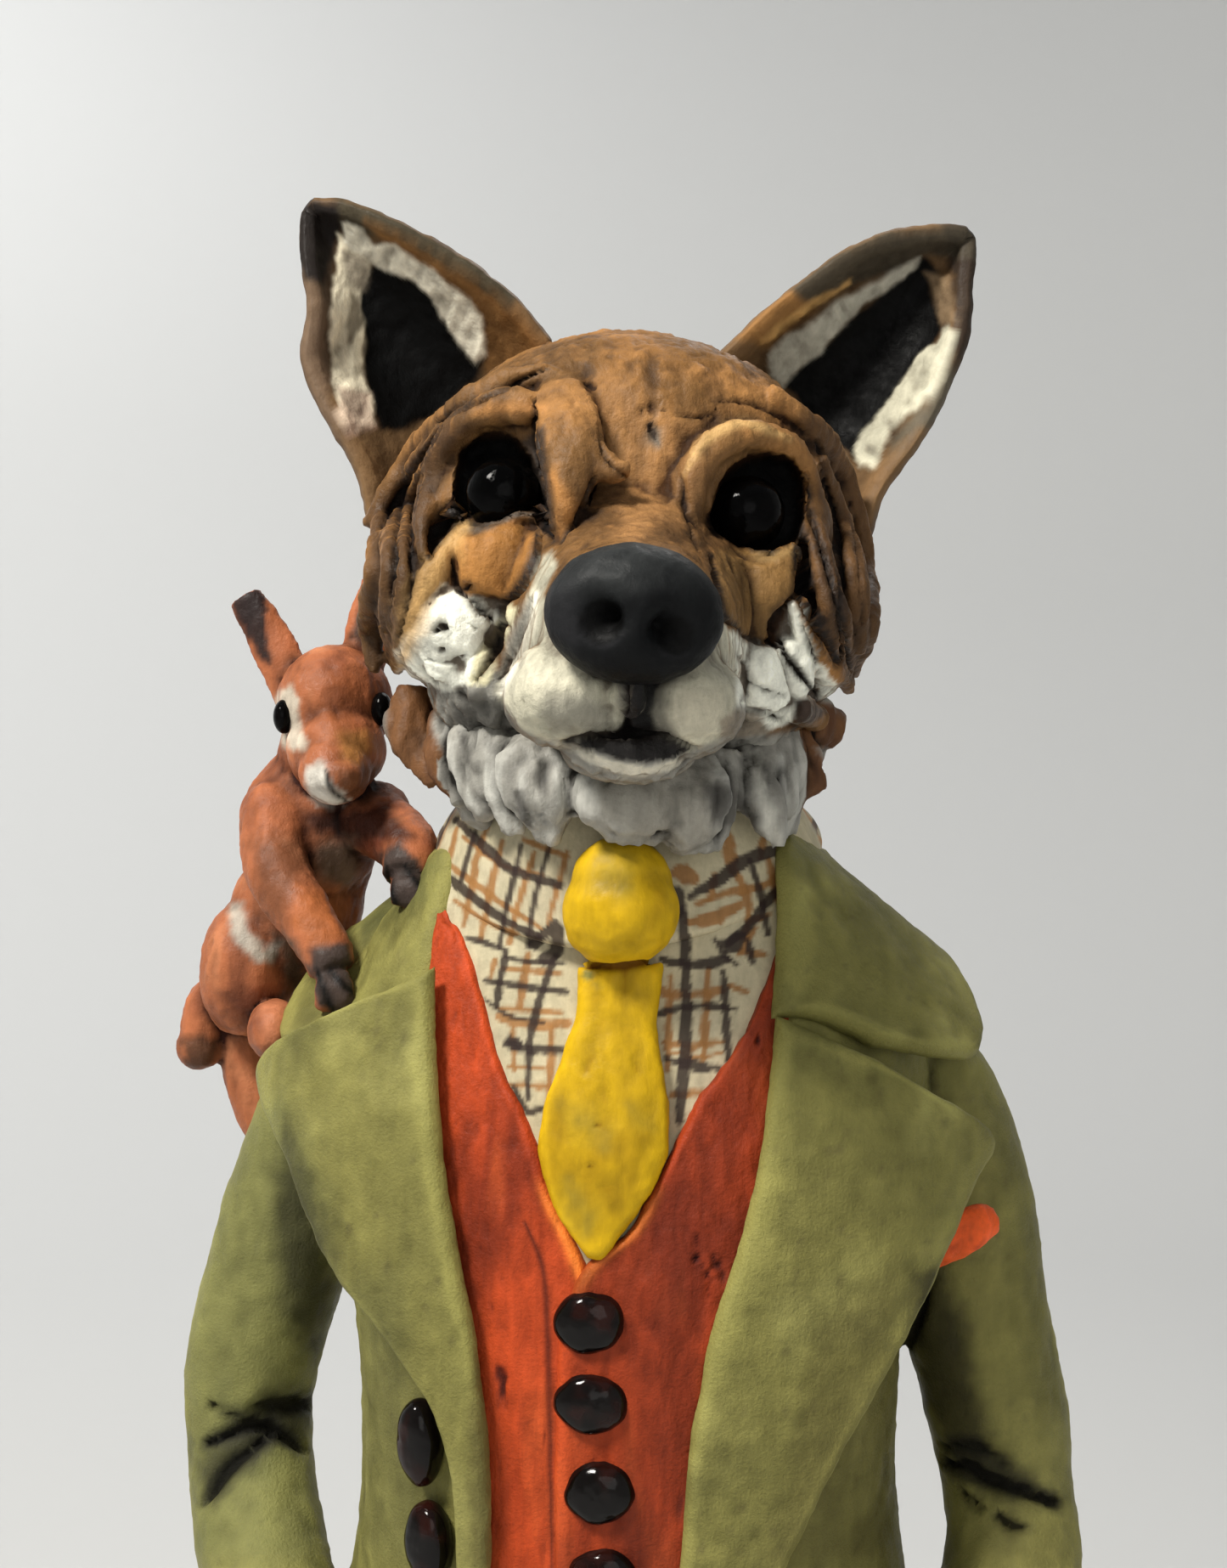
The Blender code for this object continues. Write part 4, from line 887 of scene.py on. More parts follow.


# %% [markdown]
# The fur is three browns brushed over each other in patches and fibres. Then come the areas in the order of
# the real painting, darks first and whites last, and at the end the cracks are darkened as painted shade,
# with the same lines that cut them. Each row is a colour, how well it covers, how soft its edge is, and its
# outline.

# %% Colours and areas of the head
FUR, FUR_DARK, FUR_LIGHT = (106, 76, 43), (50, 35, 23), (152, 108, 61)
CREAM, WHITE, BLACK_PAINT_AND_SHADOW = (168, 164, 145), (212, 212, 199), (8, 7, 7)
HEAD_AREAS = [
    # the dark temples and side locks
    (FUR_DARK, 0.8, 18, [(560, 500), (520, 560), (505, 660), (470, 790), (420, 800), (430, 600), (500, 500)]),
    (FUR_DARK, 0.7, 14, [(930, 500), (960, 540), (960, 690), (1000, 810), (1060, 800), (1050, 560),
        (960, 470)]),
    (FUR_DARK, 0.5, 12, [(940, 600), (985, 640), (1000, 800), (960, 770), (935, 700)]),
    # the pouches under the eyes, and the lids' lower rims
    ((142, 98, 50), 0.9, 4, [(540, 628), (560, 631), (578, 622), (600, 611), (616, 608), (626, 624),
        (636, 626), (632, 642), (620, 664), (610, 684), (596, 702), (576, 706), (556, 698), (540, 686),
        (533, 655)]),
    ((112, 84, 47), 0.85, 5, [(842, 648), (936, 645), (936, 702), (920, 706), (905, 742), (896, 757),
        (866, 746), (850, 720), (843, 680)]),
    ((60, 54, 48), 0.9, 4, [(541, 602), (560, 612), (585, 607), (605, 599), (632, 599), (640, 612),
        (616, 608), (600, 612), (578, 622), (560, 629), (543, 622)]),
    ((120, 96, 60), 0.8, 3, [(884, 650), (908, 652), (936, 640), (936, 648), (912, 664), (890, 662)]),
    ((44, 38, 34), 0.9, 5, [(612, 520), (640, 500), (648, 560), (654, 640), (640, 628), (628, 560)]),
    # black hollows, and painted shadow in the deep gaps beside them
    (BLACK_PAINT_AND_SHADOW, 1, 4, EYE_HOLLOWS[0]), (BLACK_PAINT_AND_SHADOW, 1, 4, EYE_HOLLOWS[1]),
    (BLACK_PAINT_AND_SHADOW, 1, 3, [(541, 584), (552, 606), (524, 640), (506, 664), (504, 640), (516, 604)]),
    ((30, 25, 22), 0.95, 3, [(940, 600), (956, 640), (958, 700), (990, 772), (984, 786), (950, 730),
        (936, 700), (934, 650)]),
    # the jaw under the cheeks, painted shadow under the left cheek, then the whites
    ((118, 116, 109), 1, 6, JAW),
    ((62, 60, 56), 0.8, 10, [(540, 812), (600, 830), (620, 880), (560, 880), (530, 850)]),
    (WHITE, 1, 3, WHITE_LEFT), (WHITE, 1, 3, WHITE_RIGHT),
    ((188, 182, 150), 1, 3, [(598, 712), (612, 716), (590, 762), (574, 806), (548, 806), (560, 770)]),
    (CREAM, 1, 4, MUZZLE_WHITE),
    # the shade on the muzzle's lobes, the dark between them, the lower lip and the mouth
    ((112, 109, 99), 0.8, 12, [(640, 812), (690, 815), (722, 832), (728, 852), (700, 866), (650, 866),
        (636, 840)]),
    ((150, 143, 126), 0.6, 12, [(800, 812), (850, 812), (862, 846), (840, 870), (800, 866), (778, 845)]),
    ((48, 46, 43), 0.75, 9, [(690, 790), (726, 812), (734, 850), (728, 868), (800, 878), (792, 856),
        (782, 838), (786, 812), (815, 796)]),
    ((16, 15, 15), 1, 4, [(690, 780), (732, 806), (736, 846), (728, 866), (790, 872), (772, 858), (766, 838),
        (772, 812), (812, 786)]),
    # painted shadow on the lip's right side, under the right pouch
    ((116, 106, 92), 0.9, 4, [(846, 848), (872, 834), (900, 846), (906, 862), (876, 868), (850, 866)]),
    ((176, 171, 156), 1, 2.5, [(640, 870), (680, 873), (705, 889), (732, 899), (760, 902), (795, 895),
        (806, 884), (800, 900), (785, 907), (750, 915), (712, 908), (690, 894), (676, 884), (655, 880)]),
    ((26, 24, 23), 1, 2.5, [(678, 872), (709, 865), (745, 862), (786, 869), (812, 881), (795, 893),
        (760, 899), (732, 896), (705, 887), (684, 879)]),
    ((54, 44, 38), 0.95, 3, [(934, 824), (962, 822), (972, 838), (956, 854), (934, 852)]),
]
HEAD_LINES = [
    ((186, 136, 84), 0.45, 42, [(720, 470), (770, 540), (745, 625)]),
    ((178, 142, 90), 0.8, 15, [(548, 618), (515, 665), (490, 730), (472, 785)]),
    # a painted highlight along the right lid's raised rim
    ((190, 154, 100), 0.75, 6, [(806, 558), (828, 521), (872, 498), (930, 516)]),
    ((88, 96, 94), 0.7, 9, [(766, 502), (775, 524)]),
    ((170, 120, 70), 0.5, 8, [(560, 486), (600, 480), (640, 480)]),
    ((188, 132, 74), 0.5, 9, [(650, 560), (668, 600), (660, 630)]),
    ((226, 222, 206), 0.95, 8, [(632, 700), (614, 745), (590, 815)]),
    ((120, 112, 100), 0.6, 3, [(622, 740), (612, 785)]),
]


print("areas and lines of paint:", len(HEAD_AREAS), len(HEAD_LINES))

# %% Painting the head


def paint_head(clay):
    """Noise picks the shares of the browns; areas, lines and painted shade in the cracks follow, and a grey
    under the jaw.
    """
    brush, p = Brush(clay, FUR, 31), clay.points
    patches, fibres = rough(p, (22, 22, 30), 33), rough(p, (2.4, 2.4, 10), 37)
    brush.wash(FUR_DARK, step(patches, 0.0, 1.1) * 0.6)
    brush.wash(FUR_LIGHT, step(-patches, 0.05, 1.0) * 0.6)
    brush.wash(FUR_DARK, step(rough(p, (5, 5, 26), 35), 0.2, 1.0) * 0.6)
    brush.wash(FUR_LIGHT, step(fibres, 0.35, 1.0) * 0.45)
    brush.wash(FUR_DARK, step(-fibres, 0.45, 1.0) * 0.4)
    for row in HEAD_AREAS:
        brush.area(*row, 0.5)
    for row in HEAD_LINES:
        brush.line(*row)
    under = step(498 + 3 * rough(p, (4, 4, 4), 29) - p[:, 2], -3, 3) * (p[:, 1] < -38) * (1 - brush.near)
    brush.wash((96, 93, 86), under)
    # painted shade in the cracks, darker where they are cut deeper
    for path, width, depth in HEAD_GROOVES:
        if depth >= 1.2:
            brush.line((30, 25, 22), min(1.0, depth / 2.8), width * 1.2, path)
    return brush.colours


piece("head", head, painted("fox_fur", mottle=0.26, streak=0.22, fine=620.0, bump=1.0), paint_head(head), 27)

# %% [markdown]
# ## Eyes and nose
#
# The eyes are glazed balls, black and wet, deep under their lids. The nose is a big ball of clay painted
# charcoal and left matt, with a nostril pressed in on each side by a round tool. Its top is painted lighter
# as painted highlight, and each nostril near black inside as painted shade.

# %% Eyes and nose
eyes = joined([ball(on_head, place, (EYE_RADIUS,) * 3, around=64, up=40) for place in EYE_BALLS])
eyes.push(0.14 * rough(eyes.points, (2.6, 2.6, 2.6), 39))
piece("eyes", eyes, painted("black_glaze", groove_wash_and_shade=0, ridge_rub_and_highlight=0, mottle=0.05, streak=0, bump=0.22,
                            specular=0.05, gloss=0.04), coated(eyes, (1, 1, 1)))
NOSTRILS = [(709, 731, 25), (796, 748, 21)]  # across, down, radius
pits = [((x, -119.0, z), 4.6, 8.0) for x, z in ((-5.6, -28.6), (10.2, -31.2))]
nose = ball(on_head, (MUZZLE_LEAN - 0.6, -107, -26.5), (17.8, 12.5, 14), dents=pits, around=112, up=74)
nose.push(0.25 * rough(nose.points, (6, 6, 6), 41) + 0.1 * rough(nose.points, 2.2, 45))
brush = Brush(nose, (14, 15, 16), 43)
# painted highlight: the top of the nose lighter
brush.wash((50, 52, 52), step(nose.points[:, 2] + 3 * rough(nose.points, 7, 43), 512, 530) * 0.9)
brush.line((40, 40, 42), 0.5, 26, [(668, 690), (660, 720), (672, 750)])
for u, v, size in NOSTRILS:
    away = np.hypot(brush.places[0] - u, brush.places[1] - v)
    brush.wash((34, 34, 36), step(-np.abs(away - size - 5) + (brush.places[1] - v) * 0.2 - 4, -4, 3) * 0.5)
    # painted shade: the inside of each nostril near black
    brush.wash((0.5, 0.5, 0.5), step(size + 1 - away, -3, 3))
piece("nose", nose, painted("matt_charcoal", groove_wash_and_shade=0.5, ridge_rub_and_highlight=0.2, mottle=0.25,
                            streak=0.15, bump=0.5, specular=0.1), brush.colours)

# %% [markdown]
# ## Ears
#
# Each ear is a slab pressed into a cup: ruled from its upper rim to its lower rim, and pushed back between
# them. Then come a black hollow, thick dabs of white along both rims, laid on like icing, and dark tips.

# %% Rims and areas of the ears
EAR_RIMS = {
    "right": (
        [(20, 4, 52), (30, 3, 63), (40, 3, 72.5), (53, 3, 83), (63, 3, 88), (74, 4, 90.5), (84, 6, 91)],
        [(60, -2, 4), (64, -1, 20), (73, 0, 34), (79.5, 2, 48), (84, 3, 64), (85, 5, 80), (85.5, 7, 90)],
    ),
    "left": (
        [(-24, 4, 54), (-34, 3, 65), (-44, 3, 72), (-58, 3, 79.5), (-70, 3, 84), (-80, 4, 87.5),
            (-89, 6, 88.5)],
        [(-66, -2, 2), (-71, -1, 17), (-80, 0, 31), (-87, 2, 45), (-87, 3, 60), (-90, 5, 74), (-91, 7, 86)],
    ),
}
EAR_WALL, EAR_CUP, EAR_ROWS, EAR_ACROSS = 5.0, 27.0, 110, 84
EAR_FLAT = {
    "left": [
        ((92, 76, 62), 0.8, 8, [(340, 240), (400, 240), (396, 330), (390, 470), (420, 560), (380, 520),
            (350, 420)]),
        ((26, 24, 24), 0.95, 7, [(338, 238), (405, 236), (404, 268), (392, 300), (384, 335), (356, 330),
            (340, 290)]),
        ((60, 54, 42), 1, 6, [(396, 232), (450, 248), (540, 290), (620, 345), (596, 362), (540, 330),
            (470, 288), (404, 268)]),
        ((118, 84, 48), 0.9, 6, [(430, 262), (480, 286), (560, 336), (640, 400), (620, 440), (572, 440),
            (566, 380), (520, 330), (450, 284)]),
        ((3, 3, 3), 1, 5, [(432, 318), (450, 306), (480, 316), (506, 326), (526, 346), (548, 385), (570, 415),
            (566, 440), (548, 458), (520, 484), (480, 504), (448, 508), (438, 480), (428, 440), (420, 400),
            (420, 350)]),
    ],
    "right": [
        ((40, 34, 30), 0.9, 7, [(1108, 262), (1160, 260), (1160, 440), (1120, 520), (1090, 500), (1124, 420),
            (1122, 330)]),
        ((62, 56, 46), 0.95, 7, [(940, 357), (928, 338), (985, 298), (1040, 273), (1150, 262), (1150, 305),
            (1095, 300), (1050, 320), (1000, 338)]),
        ((84, 78, 66), 0.9, 6, [(1093, 469), (1121, 412), (1126, 464), (1082, 531), (1041, 550),
            (1051, 510)]),
        ((104, 80, 54), 0.8, 8, [(1000, 545), (1040, 535), (1085, 500), (1120, 520), (1060, 600),
            (1010, 620)]),
        ((128, 92, 52), 0.9, 7, [(868, 350), (930, 340), (960, 366), (900, 408), (870, 400)]),
        ((3, 3, 3), 1, 5, [(922, 452), (945, 428), (975, 403), (1000, 376), (1035, 348), (1060, 323),
            (1088, 300), (1104, 320), (1118, 345), (1118, 375), (1100, 402), (1072, 440), (1046, 480),
            (1022, 520), (1008, 540), (975, 514), (948, 482)]),
    ],
}
EAR_RAISED = {
    "left": [
        ((242, 232, 204), 1, 4, [(398, 275), (428, 288), (438, 306), (433, 322), (425, 345), (420, 400),
            (428, 440), (442, 480), (440, 500), (420, 507), (405, 495), (395, 470), (390, 430), (388, 400),
            (390, 350), (396, 310)]),
        ((226, 220, 200), 1, 4, [(405, 262), (425, 270), (442, 288), (462, 288), (490, 306), (512, 318),
            (532, 335), (552, 352), (564, 368), (573, 396), (574, 418), (560, 428), (542, 408), (524, 378),
            (508, 350), (488, 332), (466, 322), (446, 314), (428, 302), (405, 285)]),
        ((178, 150, 132), 0.7, 6, [(398, 458), (436, 462), (442, 504), (416, 510), (398, 490)]),
        ((120, 110, 96), 0.8, 7, [(403, 294), (439, 298), (430, 342), (407, 336)]),
        ((158, 148, 126), 0.8, 5, [(411, 346), (422, 350), (428, 388), (430, 438), (418, 447), (409, 396)]),
    ],
    "right": [
        ((168, 164, 150), 1, 4, [(905, 418), (925, 396), (960, 376), (985, 353), (1010, 341), (1050, 320),
            (1085, 300), (1075, 317), (1050, 337), (1020, 357), (990, 387), (975, 402), (968, 414),
            (950, 427), (935, 442), (920, 457), (908, 442)]),
        ((176, 172, 152), 1, 4, [(1118, 382), (1126, 395), (1121, 422), (1106, 457), (1081, 482), (1048, 507),
            (1038, 532), (1030, 550), (1012, 550), (1006, 532), (1016, 508), (1048, 470), (1068, 440),
            (1083, 415), (1103, 404), (1110, 385)]),
        ((120, 100, 76), 0.9, 5, [(1090, 322), (1118, 325), (1126, 380), (1108, 384), (1100, 350)]),
        ((176, 138, 84), 0.8, 3, [(893, 398), (950, 358), (1000, 328), (1002, 334), (952, 366), (896, 406)]),
    ],
}


print("areas on the ears:", [len(rows) for rows in (*EAR_FLAT.values(), *EAR_RAISED.values())])

# %% Making the ears


def make_ear(side, upper, lower):
    """The ruled grid is pushed back by a sine across it, which fades from the root to the tip."""
    along, across = np.linspace(0, 1, EAR_ROWS)[:, None], np.linspace(0, 1, EAR_ACROSS)[None]
    grid = between(through(upper, EAR_ROWS), through(lower, EAR_ROWS), EAR_ACROSS)
    grid[..., 1] += EAR_CUP * (1 - along) ** 0.6 * np.sin(math.pi * across) ** 0.7
    clay = slab(on_head(grid), EAR_WALL)
    p = clay.points
    tip = np.repeat(along, 2 * EAR_ACROSS)
    brush = Brush(clay, (100, 77, 52), 51, back=60.0)
    brush.wash(FUR_DARK, step(rough(p, (8, 8, 14), 59), -0.1, 0.9) * 0.6)
    brush.wash((34, 29, 27), step(tip + 0.1 * rough(p, 9, 61), 0.72, 0.9) * (1 - brush.near))
    for row in EAR_FLAT[side]:
        brush.area(*row, 0.5)
    hairs, raised = rough(p @ turn(28 if side == "left" else -28, "y"), (4, 9, 26), 55), 0
    for card, share, soft, outline in EAR_RAISED[side]:
        mask = brush.area(card, share, soft, outline, 0.45)
        # where the hairs sink, a darker copy of each dab's colour, as painted shade between them
        brush.wash(np.multiply(card, 0.78), mask * step(-hairs, 0.1, 1.0) * 0.6)
        raised = np.maximum(raised, mask)
    clay.push(raised * (0.5 + 0.5 * hairs) + 0.45 * rough(p, (9, 9, 9), 57) + 0.15 * rough(p, 2.6, 58))
    return piece(f"ear_{side}", clay, painted("ear_fur", specular=0.08), brush.colours)


for side, rims in EAR_RIMS.items():
    make_ear(side, *rims)

# %% [markdown]
# ## Ruff
#
# Under the jaw hangs a ruff of thick white locks, pressed side by side and combed with a tool, with brown
# clumps behind it at both sides and round the nape. The front locks are laid where the picture has them.

# %% Locks and areas of the ruff
FRONT_LOCKS = [
    ([(530, 838, -24), (532, 890, -32), (545, 945, -36)], (10, 13, 6)),
    ([(560, 838, -34), (568, 890, -40), (575, 962, -42)], (14, 17, 7)),
    ([(592, 856, -42), (596, 915, -46), (610, 984, -48)], (14, 16, 5)),
    ([(640, 872, -46), (640, 930, -54), (652, 997, -54)], (18, 20, 4)),
    ([(690, 890, -50), (690, 930, -54), (686, 962, -54)], (14, 15, 8)),
    ([(745, 905, -52), (745, 950, -60), (748, 992, -58)], (26, 26, 12)),
    ([(800, 900, -52), (806, 950, -58), (812, 1002, -56)], (20, 22, 8)),
    ([(845, 886, -46), (845, 930, -50), (838, 1003, -52)], (14, 12, 5)),
    ([(868, 866, -40), (890, 930, -46), (916, 999, -48)], (12, 13, 3)),
    ([(900, 866, -34), (918, 910, -40), (926, 967, -42)], (9, 10, 4)),
]
SIDE_LOCKS = [
    ([(492, 812, -14), (482, 862, -18), (515, 925, -24)], (10, 14, 5)),
    ([(428, 806, -2), (450, 800, -4), (474, 806, -6)], (3, 6, 4)),
    ([(925, 842, -26), (960, 852, -24), (988, 858, -20)], (10, 13, 8)),
    ([(912, 864, -28), (940, 895, -30), (962, 935, -32)], (10, 12, 6)),
]
RUFF_AREAS = [
    ((126, 122, 112), 0.8, 14, [(700, 900), (835, 900), (838, 985), (800, 1004), (745, 992), (706, 960)]),
    # painted shadow between the locks at the right, under the jaw
    ((46, 43, 40), 0.7, 8, [(826, 924), (860, 918), (896, 960), (884, 990), (850, 975), (832, 950)]),
    ((26, 23, 22), 0.95, 4, [(878, 862), (898, 858), (896, 880), (884, 888)]),
    ((172, 170, 160), 0.8, 6, [(880, 880), (892, 880), (922, 995), (908, 992), (890, 940)]),
    ((158, 156, 148), 0.7, 8, [(618, 930), (640, 930), (656, 995), (640, 985)]),
    # painted shadow between the locks at the left
    ((40, 37, 34), 0.8, 5, [(606, 930), (616, 930), (626, 974), (614, 968)]),
    ((44, 41, 38), 0.7, 5, [(540, 862), (550, 862), (560, 908), (548, 904)]),
]


print("locks of the ruff:", len(FRONT_LOCKS), len(SIDE_LOCKS))

# %% Making the ruff


def make_ruff():
    """A ball for the throat, the measured locks, and rows of locks round the neck by sine and cosine."""
    forms = [ball(as_is, (0, -14, 492), (41, 34, 24))]
    for path, widths in FRONT_LOCKS + SIDE_LOCKS:
        line = seen(path)
        thicknesses = np.multiply(widths, (0.65, 0.62, 0.8))
        forms.append(strip(as_is, line, widths, thicknesses, EYE_POINT - line.mean(0)))
    for angle, low, width in ((-84, 478, 20), (-62, 470, 22), (60, 467, 22), (82, 476, 20)):
        out = np.array([math.sin(math.radians(angle)), -math.cos(math.radians(angle)), 0])
        top, bottom = np.array((0, -14, 507)) + out * 33, np.array((0, -10, low)) + out * 43
        path = [top, (top + bottom) / 2 + out * 5, bottom]
        forms.append(strip(as_is, path, (width, width + 3, width * 0.5), (11, 13, 7), out))
    for s in SIDES.values():
        for y, low in ((4, 470), (20, 464)):
            path = mirrored([(48, y, 512), (55, y + 2, 496), (48, y + 2, low)], s)
            forms.append(strip(as_is, path, (14, 18, 7), (7, 10, 5), (s, 0, 0)))
    for angle in np.radians(np.linspace(115, 245, 5)):
        out = np.array([math.sin(angle), -math.cos(angle), 0])
        top, bottom = np.array((0, 0, 520)) + out * 44, np.array((0, 0, 470)) + out * 44
        forms.append(strip(as_is, [top, (top + bottom) / 2 + out * 8, bottom], (24, 28, 12), (9, 12, 6), out))
    clay = fuse("ruff", forms, 1.2, 1)
    p = clay.points
    combed, torn = rough(p, (4.2, 4.2, 24), 61), np.abs(rough(p, (6, 6, 14), 63))
    clay.push(0.8 * combed + 1.5 * torn - 0.7 + 0.5 * rough(p, (2.4, 2.4, 7), 65)
              - 0.8 * step(rough(p, (3, 3, 12), 66), 0.85, 1.2))
    brush = Brush(clay, (124, 122, 115), 67, back=0.0)
    # painted highlight on the raised combed ridges, painted shade in the sunk furrows
    brush.wash((158, 157, 150), step(combed + 0.4 * rough(p, (2, 2, 9), 69), 0.1, 0.9) * 0.8)
    brush.wash((60, 58, 54), step(-combed, 0.1, 0.9) * 0.8)
    for row in RUFF_AREAS:
        brush.area(*row, 1.0)
    brown = step(p[:, 1], -16, 4)
    for path, widths in SIDE_LOCKS:
        distance, _ = line_distance(brush.places, [row[:2] for row in path])
        brown = np.maximum(brown, step(-distance, -32, -22) * (p[:, 1] > -36))
    brush.wash((92, 62, 38), brown)
    brush.wash((66, 42, 28), brown * step(combed, 0, 0.8) * 0.7)
    material = painted("ruff_fur", wash=(76, 72, 68), groove_wash_and_shade=1.0, streak=0.2, bump=0.9)
    return piece("ruff", clay, material, brush.colours)


make_ruff()

# %% [markdown]
# ## The body under the clothes
#
# All clothes lie on one body, a stack of superellipses: at each height it has a half-width and a half-depth.
# `chest` finds the body's front at any place across and up, so cloth can be cut as flat lists of x and
# height and then laid on the body like a pattern on a tailor's dummy.

# %% Body and chest
BODY_POWER = 2.3
BODY_ROWS = [
    (192, 40, 26), (204, 62, 42), (222, 67, 48), (250, 68, 50), (280, 66, 52), (310, 64.5, 53),
    (340, 66, 54), (370, 69, 53), (400, 73, 50), (420, 72, 46), (436, 65, 43), (449, 56, 41),
    (461, 48, 40), (474, 44, 39),
]
BODY_CURVE = through(BODY_ROWS, 400)


def body_size(height, grow=0.0):
    """Half-width and half-depth at a height, read from the curve and made larger by grow."""
    wide, deep = (np.interp(height, BODY_CURVE[:, 0], BODY_CURVE[:, k]) for k in (1, 2))
    return wide + grow, deep + grow


def chest(x, height, grow=0.0, widen=0.0):
    """The body's front: minus the half-depth times (1 - |x / half-width|^p)^(1/p)."""
    x, height, grow = np.broadcast_arrays(np.asarray(x, float), np.asarray(height, float), grow)
    wide, deep = body_size(height, grow)
    share = np.clip(np.abs(x) / (wide + widen), 0, 0.995)
    return np.stack([x, -deep * (1 - share**BODY_POWER) ** (1 / BODY_POWER), height], -1)


def patch(first, second, rows, across, grow, widen=0.0):
    """A grid on the chest between two edges given as rows of x and height."""
    grid = between(through(first, rows), through(second, rows), across)
    return chest(grid[..., 0], grid[..., 1], grow, widen)


def chest_at(path, grow=0.0, widen=0.0):
    """Picture places as x and height on the chest: guess a depth, look the chest up there, and repeat."""
    rows = np.asarray(path, float)
    depth = np.full(len(rows), -50.0)
    for _ in range(8):
        found = seen(np.column_stack([rows, depth])) @ turn(BODY_TURN, "z")
        depth = on_body(chest(found[:, 0], found[:, 2], grow, widen))[:, 1]
    return found[:, [0, 2]].tolist()


print("half-width and half-depth of the chest:", np.round(body_size(370), 1))


# %% [markdown]
# ## Shirt
#
# On the front each stroke follows its real place. At the back of the collar, which no one measured, the
# same strokes repeat round the neck. The mesh is fine here, because it carries the strokes as paint.

# %% Strokes of the shirt
SHIRT_DARK = [
    ([(538, 966), (577, 1003), (603, 1024), (660, 1042)], 7),
    ([(526, 1032), (555, 1055), (590, 1081), (636, 1104)], 6.5),
    ([(560, 978), (550, 1010), (543, 1038)], 4), ([(614, 994), (603, 1042), (594, 1081), (588, 1116)], 4),
    ([(648, 994), (634, 1040), (625, 1085), (622, 1116)], 4),
    # the near-black loop beside the knot is painted shadow in the gap between collar and tie
    ([(630, 1112), (643, 1098), (655, 1092), (654, 1120), (640, 1130)], 10),
    ([(548, 1104), (572, 1110), (594, 1118)], 4), ([(596, 1120), (590, 1150), (585, 1184)], 5.5),
    ([(654, 1126), (640, 1163), (629, 1198), (623, 1233), (622, 1292)], 5.5),
    ([(594, 1126), (620, 1132), (664, 1134)], 3.5),
    ([(572, 1154), (612, 1161), (668, 1168)], 5), ([(596, 1229), (620, 1235), (664, 1236)], 6.5),
    ([(602, 1226), (610, 1230)], 9),
    ([(605, 1280), (620, 1308), (644, 1303)], 5), ([(570, 1176), (600, 1196), (640, 1204)], 2.5),
    ([(812, 1056), (847, 1035), (877, 1013), (907, 1003), (930, 996)], 8.5),
    ([(926, 1036), (903, 1063), (881, 1090), (856, 1112)], 7),
    ([(852, 1112), (862, 1114), (872, 1104)], 10), ([(883, 1012), (894, 1046), (901, 1077), (904, 1100)], 5),
    ([(914, 985), (926, 1010), (928, 1040)], 4), ([(881, 1108), (886, 1132)], 5),
    ([(780, 1130), (820, 1136), (858, 1130)], 6.5),
    ([(803, 1070), (806, 1110), (808, 1163), (807, 1224), (803, 1281), (801, 1320)], 8.5),
    ([(852, 1146), (855, 1181), (855, 1216), (858, 1250)], 6.5),
    ([(776, 1194), (816, 1184), (866, 1188)], 5.5),
    ([(784, 1246), (820, 1256), (846, 1257)], 7), ([(796, 1050), (800, 1070)], 12),
    ([(842, 1106), (852, 1122), (868, 1136)], 4),
]
SHIRT_OCHRE = [
    ([(574, 972), (562, 1007), (555, 1050), (546, 1090)], 5), ([(592, 990), (577, 1050), (566, 1106)], 5),
    ([(630, 1004), (612, 1060), (600, 1110)], 5), ([(668, 1004), (655, 1050), (645, 1090)], 4),
    ([(545, 985), (590, 1018), (640, 1030)], 3.5),
    ([(520, 1012), (555, 1037), (590, 1063), (636, 1092)], 4.5),
    ([(535, 1060), (575, 1086), (610, 1100)], 3.5), ([(616, 988), (640, 998), (668, 1008)], 4),
    ([(538, 975), (528, 1015)], 4),
    ([(622, 1124), (612, 1185)], 6), ([(588, 1198), (625, 1206), (668, 1205)], 7),
    ([(585, 1186), (630, 1190), (660, 1192)], 4),
    ([(600, 1277), (655, 1279)], 4.5), ([(650, 1210), (647, 1298)], 5), ([(604, 1210), (606, 1260)], 4),
    ([(590, 1140), (660, 1146)], 4),
    ([(583, 1130), (578, 1150)], 4), ([(600, 1256), (640, 1258)], 3.5),
    ([(852, 976), (860, 1004), (862, 1024)], 8), ([(866, 1025), (881, 1063), (877, 1106)], 6),
    ([(905, 1012), (916, 1062)], 5.5),
    ([(929, 980), (932, 1020)], 5), ([(822, 1064), (860, 1050), (902, 1041), (926, 1020)], 5.5),
    ([(812, 1086), (840, 1082), (872, 1066)], 9),
    ([(800, 1026), (816, 1034)], 12), ([(833, 1142), (831, 1190), (829, 1246)], 6),
    ([(775, 1166), (802, 1172), (850, 1166)], 7),
    ([(782, 1228), (814, 1232), (853, 1226)], 5.5), ([(782, 1236), (820, 1244), (850, 1240)], 3.5),
    ([(858, 1160), (880, 1168)], 4.5),
    ([(790, 1150), (786, 1260)], 5), ([(880, 1086), (906, 1076)], 5), ([(872, 1120), (900, 1124)], 5),
    ([(790, 1290), (826, 1286)], 5),
    ([(842, 1030), (836, 1060)], 5), ([(900, 980), (896, 1010)], 5), ([(890, 1092), (870, 1124)], 4),
]


print("strokes on the shirt:", len(SHIRT_DARK), len(SHIRT_OCHRE))

# %% Shirt front and collar


